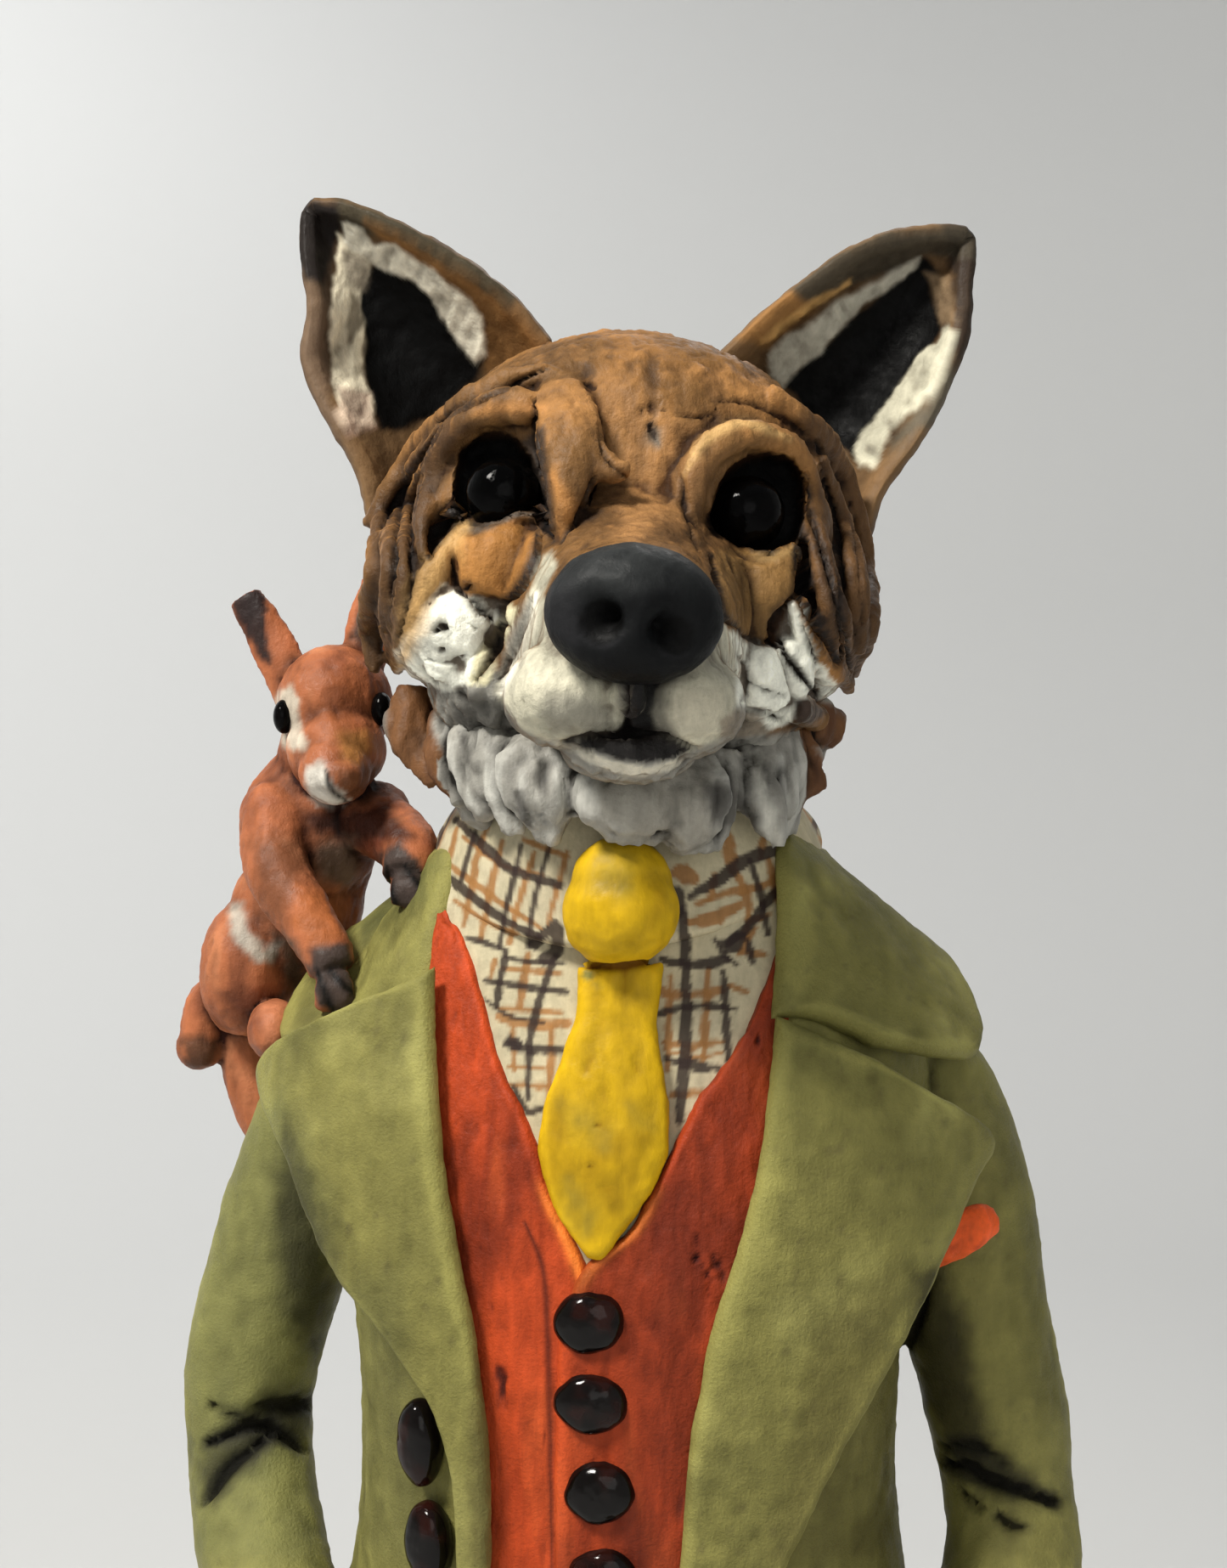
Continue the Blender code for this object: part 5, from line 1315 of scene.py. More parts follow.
def paint_shirt(clay, round_neck=None, height=None):
    """Strokes at their places in front; elsewhere lines wherever an angle or a height comes near a step."""
    p, places = clay.points, picture_of(clay.points)
    ragged = rough(p, (2.4, 2.4, 2.4), 71)
    colours = coated(clay, (186, 176, 146))
    colours = lay(colours, (176, 166, 142), step(rough(p, (9, 9, 9), 73), 0, 1) * 0.5)
    front = step(-p[:, 1], 8, 18)
    for strokes, card in ((SHIRT_OCHRE, (150, 106, 60)), (SHIRT_DARK, (48, 37, 34))):
        for path, width in strokes:
            distance, along = line_distance(places, path)
            wide = width * (0.66 + 0.26 * np.sin(math.pi * along)) * (1 + 0.35 * ragged)
            colours = lay(colours, card, step(wide - distance, -1.4, 1.6) * front * 0.92)
    if round_neck is not None:
        for every, width, card in ((0.34, 0.045, (178, 122, 62)), (0.51, 0.06, (66, 50, 44))):
            near = np.abs((round_neck + 0.05 * ragged) / every % 1 - 0.5) * every
            colours = lay(colours, card, step(width - near, -0.015, 0.015) * (1 - front) * 0.9)
        near = np.abs(height - 0.5) + 0.04 * ragged
        colours = lay(colours, (66, 50, 44), step(0.09 - near, -0.03, 0.03) * (1 - front) * 0.9)
    return colours


SHIRT_CLOTH = painted("shirt_check", wash=(130, 118, 96), ridge_rub_and_highlight=0.2, mottle=0.08, bump=0.4)
SHIRT_EDGE, SHIRT_GRID, SHIRT_WALL = [(47, 457), (45, 430), (36, 395), (18, 366)], 136, 4.0
grid = patch([(-x, z) for x, z in SHIRT_EDGE], SHIRT_EDGE, SHIRT_GRID, SHIRT_GRID, 0.5)
shirt = slab(on_body(grid), SHIRT_WALL)
shirt.push(0.35 * rough(shirt.points, (9, 9, 14), 75))
piece("shirt_front", shirt, SHIRT_CLOTH, paint_shirt(shirt))

COLLAR_ROWS, COLLAR_ROUND, COLLAR_WALL = 54, 350, 4.2
angles = np.radians(np.linspace(-158, 158, COLLAR_ROUND))
drop = 474 - 33 * np.cos(angles / 2) ** 3
top = np.stack([43 * np.sin(angles), -2 - 41 * np.cos(angles), np.full_like(angles, 474)], 1)
low = np.stack([49 * np.sin(angles), -2 - 46 * np.cos(angles), drop], 1)
grid = between(top, low, COLLAR_ROWS)
share = np.linspace(0, 1, COLLAR_ROWS)
grid[..., :2] *= (1 + 0.035 * np.sin(math.pi * share))[None, :, None]
collar = slab(on_body(grid), COLLAR_WALL)
collar.push(0.4 * rough(collar.points, (10, 10, 10), 77))
heights = np.tile(np.concatenate([share, share[::-1]]), COLLAR_ROUND)
piece("shirt_collar", collar, SHIRT_CLOTH, paint_shirt(collar, np.repeat(angles, 2 * COLLAR_ROWS), heights))

# %% [markdown]
# ## Tie
#
# A fat round knot and a blade that pinches in below it, swells over the chest and ends in a point. It is
# yellow, with greenish smudges where other paint has rubbed off on it, and a painted shadow on the knot's
# top.

# %% Tie
TIE_KNOT = (((5, -53, 450.5), (14, 11.5, 12)), ((5, -52, 456.5), (11.8, 10.5, 11.5)), ((4.5, -52, 446),
    (12.6, 10.5, 8.5)))
BLADE_HEIGHTS = (370, 372, 380, 388, 394, 405, 414, 424, 436)
BLADE_HALF = (0.8, 2.8, 9.2, 13.2, 15.4, 15.2, 12.4, 9.4, 10)
BLADE_ACROSS = 30
line = through([(4.5, 438), (4, 431), (3.5, 424), (2, 405), (1, 392), (0, 380), (0, 370)], 60)
half = np.interp(line[:, 1], BLADE_HEIGHTS, BLADE_HALF)
edges = [np.column_stack([line[:, 0] + sign * half, line[:, 1]]) for sign in (-1, 1)]
blade = patch(*edges, len(line), BLADE_ACROSS, 4.5)
bulge = np.interp(line[:, 1], (370, 395, 436), (0.5, 3.0, 1.5))[:, None]
blade[..., 1] -= np.sin(math.pi * np.linspace(0, 1, BLADE_ACROSS))[None] * bulge
tie = fuse("tie", [slab(on_body(blade), 6.5)] + [ball(on_body, *row) for row in TIE_KNOT], 0.85, 6)
places = picture_of(tie.points)
tie_push = 0.45 * rough(tie.points, (6, 6, 9), 81) + 0.1 * rough(tie.points, 2.5, 83)
for path, width, depth in (
    ([(672, 1134), (725, 1139), (774, 1131)], 3.5, 2.0), ([(734, 1110), (752, 1115), (770, 1106)], 5, 0.3),
    ([(700, 1150), (706, 1200), (690, 1260)], 14, 0.5), ([(735, 1150), (740, 1200), (752, 1260)], 14, 0.5),
    ([(700, 1325), (712, 1328)], 2.5, 0.6), ([(690, 1372), (700, 1376)], 2, 0.5),
):
    tie_push -= stroke(places, path, width) * depth
tie.push(tie_push)
tie_paint = coated(tie, (178, 143, 15))
tie_paint = lay(tie_paint, (136, 104, 10), step(rough(tie.points, (8, 8, 14), 85), 0, 1) * 0.6)
for path, width, share in (
    ([(690, 1144), (692, 1152)], 9, 0.85), ([(700, 1158), (710, 1162)], 7, 0.4),
    ([(660, 1300), (700, 1330), (712, 1350)], 24, 0.4), ([(668, 1390), (684, 1430), (690, 1452)], 20, 0.5),
    # the wide mark on the knot's top is painted shadow; the other marks are smudges
    ([(712, 1000), (722, 1025), (732, 1045)], 34, 0.6), ([(690, 1144), (696, 1150)], 6, 1.4),
    ([(740, 1300), (770, 1330)], 14, 0.3),
):
    smudge_and_shadow = stroke(places, path, width) * share * (0.8 + 0.4 * rough(tie.points, 3, 87))
    tie_paint = lay(tie_paint, (104, 98, 44), smudge_and_shadow)
piece("tie", tie, painted("yellow_glaze", wash=(150, 112, 40), mottle=0.1, bump=0.4), tie_paint)

# %% [markdown]
# ## Waistcoat and buttons
#
# Two fronts of orange-red clay, the one at the viewer's right lapped over the other, with thick rubbed edges
# at the neck. The buttons are domes of glazed clay, each pushed on by a thumb, so none is quite round.

# %% Waistcoat
COAT_HEIGHTS = (222, 260, 300, 350, 387, 424, 440, 464)
COAT_OPENING = {"left": (30, 27, 25, 28, 37, 40, 40, 38), "right": (16, 17, 22, 27, 37, 40, 40, 38)}
NECKLINES = {
    "left": [(524, 1062), (532, 1086), (547, 1106), (569, 1174), (583, 1224), (599, 1270), (622, 1316),
        (638, 1360), (655, 1411), (690, 1484)],
    "right": [(926, 1100), (909, 1142), (891, 1188), (868, 1234), (845, 1266), (822, 1293), (806, 1326),
        (786, 1362), (762, 1412), (738, 1452), (690, 1490)],
}
WAIST_ROWS, WAIST_ACROSS, CLOTH_WALL = 155, 64, 6.0
WAIST_SEAM = [(618, 1440), (640, 1500), (646, 1600), (648, 1700), (652, 1900)]
RED, RED_DARK, RED_LIGHT = (170, 64, 28), (92, 32, 17), (198, 88, 42)


def make_waistcoat(side, below, grow):
    """A slab between the neckline, looked up on the chest, and a line just under the coat's edge."""
    inner = chest_at(NECKLINES[side], grow) + below
    outer = [(SIDES[side] * (np.interp(z, COAT_HEIGHTS, COAT_OPENING[side]) + 4), z) for _, z in inner]
    grid = patch(inner, outer, WAIST_ROWS, WAIST_ACROSS, grow)
    clay = slab(on_body(grid), CLOTH_WALL)
    share = np.linspace(0, 1, WAIST_ACROSS)
    across = np.tile(np.concatenate([share, 1 - share]), WAIST_ROWS)
    p, places = clay.points, picture_of(clay.points)
    rim = np.exp(-((across - 0.05) / 0.05) ** 2)
    pits = rough(p, (5, 5, 7), 95)
    clay.push(0.5 * rim + 0.45 * rough(p, (12, 12, 26), 91) + 0.3 * rough(p, (3, 3, 5), 93)
              - 0.8 * step(pits, 0.75, 1.2))
    colours = lay(coated(clay, RED), RED_DARK, step(rough(p, (12, 12, 34), 97), 0.1, 1.0) * 0.7)
    colours = lay(colours, RED_LIGHT, step(rough(p, (8, 8, 30), 99), 0.2, 1.1) * 0.55)
    colours = lay(colours, (206, 116, 44), rim * step(-np.abs(p[:, 2] - 374), -16, -6) * 0.8)
    colours = lay(colours, (70, 34, 30), step(pits, 0.8, 1.25) * 0.8)
    colours = lay(colours, (70, 24, 15), stroke(places, WAIST_SEAM, 5) * 0.8)
    # painted shade: the right front darker all over, where it lies in shadow
    if side == "right":
        colours = lay(colours, (84, 30, 16), 0.45 + 0.3 * rough(p, (9, 9, 30), 98))
    return piece(f"waistcoat_{side}", clay,
                 painted("waistcoat_red", wash=(110, 60, 44), streak=0.2, fine=900.0, bump=0.9), colours)


make_waistcoat("left", [(2, 352), (4, 330), (4, 290), (4, 236)], 1.6)
make_waistcoat("right", [(-6.5, 360), (-9, 345), (-9.5, 300), (-9, 236)], 3.4)

# %% [markdown]
# A button is a ball of clay pressed flat with a thumb. One profile of radius and lift is turned round the
# chest's normal, and a wave in its radius keeps it from being a perfect circle.

# %% Buttons
WAISTCOAT_BUTTONS = [(-1.5, 356), (-1, 337.5), (1, 317), (1.5, 297)]
COAT_BUTTONS = chest_at([(495, 1698), (505, 1816)], 8)


def button(x, z, grow, wide, tall, lean=0.0):
    """A dome turned about its own axis, set along the chest's normal, and wavy by a sine round its edge."""
    here, right, up = (chest(np.array(x + dx), np.array(z + dz), grow) for dx, dz in ((0, 0), (1, 0), (0, 1)))
    side, rise = right - here, up - here
    side, out = side / np.linalg.norm(side), np.cross(rise, side)
    out /= np.linalg.norm(out)
    out = out if out[1] < 0 else -out
    radius = np.array([0.05, 1.8, 3.6, 5.2, 6.6, 7.6, 8.2, 8.45, 8.3, 7.8])
    lift = np.array([4.7, 4.65, 4.4, 4.0, 3.3, 2.4, 1.2, 0.0, -1.2, -2.4])
    profile = through(np.column_stack([radius, lift]), 30)
    side = side + np.array((0, 0, -lean))
    angle = np.linspace(0, 2 * math.pi, 48, endpoint=False)
    wave = 1 + 0.03 * np.sin(2 * angle + x * 3 + z) + 0.015 * np.sin(5 * angle + z)
    spread = profile[:, :1] * wave
    return rings(on_body(
        here + side * (wide * spread * np.cos(angle))[..., None]
        + np.array((lean * 0.5, 0, tall)) * (spread * np.sin(angle))[..., None]
        + out * profile[:, 1, None, None]
    ))


buttons = joined([button(x, z, 5.5, 1.0, 0.85) for x, z in WAISTCOAT_BUTTONS]
                 + [button(x, z, 8.0, 0.66, 1.2, -0.35) for x, z in COAT_BUTTONS])
buttons.push(0.22 * rough(buttons.points, (5, 5, 5), 103) + 0.1 * rough(buttons.points, (2, 2, 3), 104))
button_red = step(rough(buttons.points, 6, 105), 0.1, 0.9) * 0.8
button_paint = lay(coated(buttons, (8, 5, 4)), (34, 13, 9), button_red)
piece("buttons", buttons, painted("button_glaze", groove_wash_and_shade=0.6, ridge_rub_and_highlight=0.3, mottle=0.2,
                                  streak=0.05, bump=0.12, specular=0.2, gloss=0.1), button_paint)

# %% [markdown]
# ## Coat
#
# The coat's body is a stack of rings that stands out by a thickness everywhere but in its front opening, so
# its two front edges are real steps. The sleeves are round limbs fused into it, bent at the elbow, with the
# hands pushed into the side pockets. The lapels and the collar are slabs of their own, cut with a knife.

# %% Body and sleeves of the coat
HEM, COAT_TOP, COAT_THICK = 222.0, 463.0, 5.0
SLEEVE = [(57, 8, 414), (77, 9, 398), (89, 10, 371), (95.5, 10, 343), (101.5, 9, 318), (102.5, 6, 298),
    (99.5, -4, 279), (91, -18, 265), (80, -30, 255), (72, -38, 249)]
SLEEVE_RADII = (22, 20.5, 19.5, 19.3, 18.3, 16.8, 17.5, 17, 16.5, 15.5)
SLEEVE_LEAN = np.array([0, 0.5, 1, 1.8, 1.9, 1.3, 0.3, 0, 0, 0])[:, None] * (-3, 0, 0)
OLIVE, OLIVE_LIGHT, OLIVE_DARK = (118, 114, 62), (142, 138, 80), (74, 72, 38)


def elbow(s):
    """The middle of the leather patch on each elbow."""
    return np.array((s * 107 - 3, 15, 302), float)


def coat_body():
    """The body's rings, grown by the coat's thickness outside the opening, and flared below z 300."""
    z = np.linspace(HEM, COAT_TOP, 160)[:, None]
    left, right = (np.interp(z, COAT_HEIGHTS, COAT_OPENING[side]) for side in ("left", "right"))
    x, y = oval(420, BODY_POWER)
    wide, deep = body_size(z)
    opening = step(x * wide + left, -1.2, 1.2) * step(right - x * wide, -1.2, 1.2) * (y < 0)
    grow = COAT_THICK * (1 - opening) - 1.0 * opening + 7 * np.clip((300 - z) / (300 - HEM), 0, 1) ** 1.5
    return rings(on_body(np.stack(np.broadcast_arrays(x * (wide + grow), y * (deep + grow), z), -1)))


def coat_forms():
    """The body, and for each side a sleeve, a shoulder, a cuff, an elbow patch and a pocket welt."""
    forms = [coat_body()]
    for s in SIDES.values():
        forms.append(tube(on_body, mirrored(SLEEVE, s) + SLEEVE_LEAN, SLEEVE_RADII, 70))
        forms.append(ball(on_body, (s * 54, 6, 411), (28, 28, 26)))
        forms.append(tube(on_body, mirrored([(82, -30, 254), (72, -39, 248)], s), (18, 17.5), 12))
        forms.append(ball(on_body, elbow(s), (9, 12, 20), (0, 0, s * 10)))
        welt = mirrored(chest(np.array([44, 56, 68]), np.array([244, 241, 238]), 13), s)
        forms.append(strip(on_body, welt, (12, 14, 12), (6, 8, 6), (s * 0.4, -1, 0)))
    return forms


print("forms of the coat:", len(coat_forms()))

# %% Creases and painted shadows of the coat
COAT_CREASES = [
    ([(248, 1656), (290, 1674), (316, 1681)], 6, 2.0), ([(300, 1660), (330, 1656), (368, 1654)], 14, 3.0),
    ([(243, 1700), (278, 1687), (314, 1680), (340, 1692), (358, 1706)], 9, 3.2),
    ([(240, 1768), (260, 1736), (290, 1711), (324, 1688)], 9, 3.2),
    ([(1112, 1722), (1140, 1728), (1156, 1738), (1196, 1752), (1246, 1770)], 9, 3.2),
    ([(1110, 1704), (1150, 1706), (1186, 1724)], 10, 2.0), ([(1134, 1760), (1158, 1776)], 5, 1.8),
    ([(1174, 1784), (1192, 1794), (1212, 1800)], 6, 2.2),
    ([(1094, 1500), (1076, 1560), (1060, 1600)], 7, 2.0),
]
# Patches of painted shadow: the inner sleeves, the elbows, under the lapels and down the coat's front.
COAT_PAINTED_SHADOWS = [
    ((88, 92, 58), 0.5, 26, [(225, 1340), (330, 1290), (380, 1400), (380, 1846), (215, 1846), (205, 1500)]),
    ((92, 88, 50), 0.35, 30, [(1130, 1280), (1250, 1300), (1290, 1600), (1280, 1846), (1130, 1846)]),
    ((46, 45, 28), 0.85, 20, [(335, 1320), (372, 1400), (402, 1520), (372, 1600), (340, 1560), (318, 1440)]),
    ((44, 42, 28), 0.6, 10, [(240, 1694), (300, 1662), (372, 1636), (372, 1684), (350, 1706), (320, 1702),
        (290, 1732), (252, 1772), (236, 1744)]),
    ((40, 37, 21), 0.85, 16, [(1072, 1500), (1112, 1480), (1134, 1560), (1154, 1640), (1170, 1705),
        (1120, 1722), (1080, 1640)]),
    ((28, 26, 19), 0.7, 9, [(1105, 1688), (1150, 1690), (1200, 1728), (1246, 1758), (1246, 1780),
        (1180, 1752), (1116, 1746)]),
    ((88, 82, 44), 0.55, 24, [(960, 1560), (1060, 1480), (1064, 1846), (905, 1846)]),
    ((74, 66, 36), 0.6, 9, [(560, 1560), (584, 1560), (584, 1846), (556, 1846), (552, 1700)]),
    ((90, 90, 54), 0.4, 26, [(400, 1500), (470, 1500), (500, 1846), (410, 1846)]),
    ((58, 62, 36), 0.6, 14, [(400, 1060), (480, 980), (520, 1000), (500, 1060), (430, 1110)]),
]
coat = fuse("coat", coat_forms(), 1.9, 1)
places, near = picture_of(coat.points), coat.facing()
coat_push = 0.5 * rough(coat.points, (16, 16, 22), 111) + 0.3 * rough(coat.points, 4, 113)
for path, width, depth in COAT_CREASES:
    coat_push -= stroke(places, path, width) * depth * near
coat.push(coat_push)


# %% Painting the coat


def paint_olive(clay, seed):
    """Three greens and a brown, each where a noise of its own is high."""
    p = clay.points
    colours = lay(coated(clay, OLIVE), OLIVE_LIGHT, step(rough(p, (18, 18, 24), seed), 0, 1) * 0.7)
    colours = lay(colours, OLIVE_DARK, step(rough(p, (14, 14, 20), seed + 4), 0.15, 1.1) * 0.6)
    return lay(colours, (84, 78, 48), step(rough(p, (3.2, 3.2, 4.5), seed + 8), 0.55, 1.2) * 0.5)


def olive_with_painted_shadows(clay, seed):
    """The greens under the measured patches of painted shadow, as a brush that can go on painting."""
    brush = Brush(clay, OLIVE, seed + 2, back=40.0)
    brush.colours = paint_olive(clay, seed)
    for row in COAT_PAINTED_SHADOWS:
        brush.area(*row)
    return brush


brush = olive_with_painted_shadows(coat, 115)
# painted shadow along the creases, darker where they are cut deeper
for path, width, depth in COAT_CREASES:
    brush.line((26, 25, 20), min(0.8, depth / 4), width * 1.9, path)
coat_paint = brush.colours
for s in SIDES.values():
    away = np.linalg.norm((coat.points @ turn(BODY_TURN, "z") - elbow(s)) / (11, 15, 23), axis=1)
    leather = step(-(away + 0.08 * rough(coat.points, 4, 119)), -1.08, -0.98)
    coat_paint = lay(coat_paint, (104, 64, 42), leather)
COAT_CLAY = painted("coat_olive", wash=(92, 88, 62), mottle=0.2, streak=0.06, fine=1200.0, bump=0.95)
piece("coat", coat, COAT_CLAY, coat_paint, 15)

# %% [markdown]
# Lapels and collar are slabs of their own, ruled between a cut inner edge and a cut outer edge, so that they
# throw real shadows. The side at the viewer's right laps over at the neck, as on the real coat.

# %% Lapels, collar and pocket square
LAPEL_WIDEN, COLLAR_ALONG, COLLAR_ACROSS = 19.0, 110, 42
LAPELS = {
    "left": (
        [(-41, 436), (-40, 420), (-37.5, 395), (-33, 372), (-27.5, 347), (-25, 322), (-25, 290), (-28, 240)],
        [(-66, 424), (-91, 408), (-79, 385), (-66, 363), (-52, 350), (-37, 329), (-33, 300), (-34, 240)],
    ),
    "right": (
        [(41, 426), (39, 406), (36, 385), (31, 368), (27, 355), (22, 330), (20, 305), (17, 262)],
        [(64, 415), (90, 397), (86, 384), (79, 368), (68, 347), (56, 326), (43, 300), (22, 262)],
    ),
}


def coat_slab(name, grid, seed):
    """A slab of the coat's clay, made uneven by a coarse and a fine noise, and painted with the greens and
    the painted shadows.
    """
    clay = slab(on_body(grid), CLOTH_WALL)
    clay.push(0.4 * rough(clay.points, (16, 16, 20), seed) + 0.25 * rough(clay.points, 4, seed + 2))
    piece(name, clay, COAT_CLAY, olive_with_painted_shadows(clay, seed + 4).colours)


for side, edges in LAPELS.items():
    coat_slab(f"lapel_{side}", patch(*edges, 160, 52, 6.9, LAPEL_WIDEN), 121)
NECK = [(40, -30, 420), (42, -24, 438), (42, -12, 454), (42, 4, 466), (36, 24, 474), (0, 41, 477)]
COLLAR_EDGE = [(64, -40, 419), (89, -18, 413), (84, 4, 431), (61, 20, 445), (38, 42, 452), (0, 53, 453)]
NECK_LAPPED = [(40, -46, 425), (41, -43.5, 438), (41, -37.5, 453), (40, -28, 465), (38, -6, 471),
    (33, 24, 476), (0, 41, 477)]
for side, s in SIDES.items():
    edges = (NECK_LAPPED if side == "right" else NECK, COLLAR_EDGE)
    grid = between(*(through(mirrored(edge, s), COLLAR_ALONG) for edge in edges), COLLAR_ACROSS)
    grid[..., 2] += 2.5 * np.sin(math.pi * np.linspace(0, 1, COLLAR_ACROSS))[None]
    coat_slab(f"collar_{side}", grid, 131)
KERCHIEF = seen([(1088, 1488, -33), (1118, 1462, -37), (1146, 1444, -37), (1168, 1434, -34)])
kerchief = fuse("kerchief", [strip(as_is, KERCHIEF, (7, 12, 11, 8), (5, 6, 7, 6), (0.4, -1, 0))], 0.8, 1)
kerchief.push(0.5 * rough(kerchief.points, (5, 5, 7), 141))
kerchief_paint = lay(coated(kerchief, (208, 84, 36)), RED, step(rough(kerchief.points, 4, 143), 0, 1))
piece("pocket_square", kerchief, MATERIALS["waistcoat_red"], kerchief_paint)

# %% [markdown]
# ## Hands, trousers, shoes, tail and base
#
# The picture ends above the hem, so all of this is of the maker's usual kind and kept plainer: paws in the
# pockets, trousers with a few folds, round shoes, a bushy tail with a pale tip, and a low oval base.

# %% Legs, shoes and hands
LEG = [(32, 0, 236), (35, -1, 205), (37, -5, 150), (38, -2, 100), (40, 2, 55), (41, 2, 24)]
LEG_RADII = (37, 34, 29, 26, 25, 28)
rows = through(BODY_ROWS[:5], 30)
x, y = oval(120, BODY_POWER)
leg_forms = [rings(on_body(np.stack(np.broadcast_arrays(
    x * (rows[:, 1:2] - 1), y * (rows[:, 2:3] - 1), rows[:, :1]), -1)))]
shoe_forms, hand_forms = [], []
for s in SIDES.values():
    leg_forms.append(tube(on_body, mirrored(LEG, s), LEG_RADII, 60))
    for z, y in ((142, -31), (38, -23)):
        fold = mirrored([(22, y + 8, z + 3), (38, y, z), (55, y + 10, z + 2)], s)
        leg_forms.append(tube(on_body, fold, (2, 4, 2), 20))
    shoe_forms.append(ball(on_body, (s * 44, -24, 11), (21, 42, 15), (0, 0, s * 9)))
    shoe_forms.append(ball(on_body, (s * 41, 10, 9), (19, 21, 15)))
    shoe_forms.append(tube(on_body, mirrored([(40, 18, 3), (43, -12, 3), (49, -46, 3)], s), (17, 20, 15), 24))
    hand_forms.append(ball(on_body, (s * 62, -48, 243), (14, 9, 13), (20, s * 35, 0)))
legs = fuse("trousers", leg_forms, 2.8, 1)
legs.push(0.8 * rough(legs.points, (20, 20, 12), 151) + 0.25 * rough(legs.points, 4, 153))
leg_dark = step(rough(legs.points, (14, 14, 20), 155), 0, 1) * 0.7
leg_paint = lay(coated(legs, (96, 82, 66)), (66, 56, 46), leg_dark)
piece("trousers", legs, painted("trouser_brown", wash=(90, 76, 60)), leg_paint, 9)
shoes = joined([fuse("shoe", shoe_forms[k:k + 3], 2.0, 1) for k in (0, 3)])
shoes.push(0.3 * rough(shoes.points, (9, 9, 9), 157))
piece("shoes", shoes, painted("shoe_glaze", mottle=0.2, bump=0.3, coat=0.2), coated(shoes, (70, 42, 28)), 10)
hands = joined(hand_forms)
hands.push(0.4 * rough(hands.points, (5, 5, 5), 159))
piece("hands", hands, MATERIALS["fox_fur"], coated(hands, (60, 42, 32)))

# %% [markdown]
# The tail is a thick roll with four rings of locks laid round it, turned by half a step from ring to ring as
# tiles are. It reaches down to the base, so that it can't break off.

# %% Tail
TAIL = [(6, 48, 236), (22, 72, 205), (38, 84, 160), (44, 86, 110), (38, 84, 60), (26, 78, 22), (16, 70, 6)]
TAIL_RADII = (13, 21, 27, 29, 26, 19, 8)
tail_forms = [tube(as_is, TAIL, TAIL_RADII, 60)]
rows = through(np.column_stack([TAIL, TAIL_RADII]), 6)
for number in range(1, 5):
    centre, radius = rows[number, :3], rows[number, 3]
    for quarter in range(4):
        a = math.radians(90 * quarter + 45 * (number % 2))
        out = np.array([math.cos(a), math.sin(a), 0.15])
        high, low = centre + out * radius * 0.8 + (0, 0, 22), centre + out * radius * 1.02 - (0, 0, 26)
        path = [high, centre + out * (radius * 1.08), low]
        tail_forms.append(strip(as_is, path, (16, 20, 5), (7, 9, 4), out))
tail = fuse("tail", tail_forms, 2.5, 1)
p = tail.points
tail.push(0.8 * rough(p, (4.5, 4.5, 26), 161))
tail_paint = lay(coated(tail, FUR), FUR_DARK, step(rough(p, (4.5, 4.5, 26), 163), 0, 1) * 0.6)
tail_paint = lay(tail_paint, CREAM, step(-(p[:, 2] + 6 * rough(p, (6, 6, 20), 165)), -52, -38))
piece("tail", tail, MATERIALS["fox_fur"], tail_paint, 10)

# %% [markdown]
# ## Squirrel
#
# A small squirrel climbs over the shoulder. It is modelled like the fox, from balls and rolls, and its face
# is painted: a white ring round each eye, a pale belly, dark paws.

# %% Forms of the squirrel
SQUIRREL_BALLS = [
    ((-80, 14, 502), (15.5, 18, 16), 0), ((-78, 4, 489), (13, 13, 12.5), 0),
    ((-77, -4, 483.5), (9.5, 10, 9), 0),
    ((-75, -11, 482), (6, 4.5, 5), 0), ((-88, 22, 468), (19.5, 17, 23), 8), ((-91, 28, 450), (17, 17, 22), 0),
    ((-105, 22, 430), (13.5, 16, 20), 8), ((-95, 6, 414), (7, 11, 8), 0), ((-88, 27, 462), (17, 15.5, 30), 8),
    ((-97, 25, 441), (15, 15.5, 23), 12), ((-84, 20, 487), (12.5, 13.5, 16), 0),
]
SQUIRREL_EARS = [
    [(-91, 17, 504), (-98.5, 19, 519), (-106, 20, 532)], [(-73, 17, 513), (-71, 19, 525), (-69, 20, 536)],
]
SQUIRREL_ARMS = [
    seen([(326, 962, 12), (326, 1022, 3), (356, 1075, -5), (384, 1120, -11), (392, 1142, -13)]),
    seen([(440, 965, 12), (468, 985, 2), (482, 1005, -6), (478, 1032, -11)]),
]
SQUIRREL_EYES = np.array([(-92, 3.5, 498), (-66, 4, 500)], float)
squirrel_forms = [ball(as_is, centre, radii, (0, lean, 0)) for centre, radii, lean in SQUIRREL_BALLS]
squirrel_forms += [strip(as_is, path, (13, 12.5, 9), (6, 6, 5), (0, -1, 0)) for path in SQUIRREL_EARS]
for path, reach in zip(SQUIRREL_ARMS, (11, 8)):
    squirrel_forms.append(tube(as_is, path, (9.5, 8.5, 7.5, 6.5, 6)[:len(path)]))
    squirrel_forms.append(ball(as_is, path[0] + (0, 2, 0), (10.5, 11, 10.5)))
    paw = path[-1]
    for finger in (-1, 0, 1):
        tip = paw + (finger * 4 + 2, -4, -reach + abs(finger))
        squirrel_forms.append(tube(as_is, [paw, (paw + tip) / 2 + (0, -2.5, 0), tip], (3.4, 3.0, 1.6), 14))
SQUIRREL_TAIL = [(-93, 24, 376), (-103, 32, 388), (-109, 33, 405), (-112, 31, 419), (-118, 29, 418),
    (-120.5, 28, 406)]
squirrel_forms.append(tube(as_is, SQUIRREL_TAIL, (8, 8, 7.5, 7, 6.5, 6)))
squirrel_forms.append(ball(as_is, (-120.5, 28, 406), (6.4, 6.4, 6.4)))
squirrel = fuse("squirrel", squirrel_forms, 1.05, 1)
p = squirrel.points
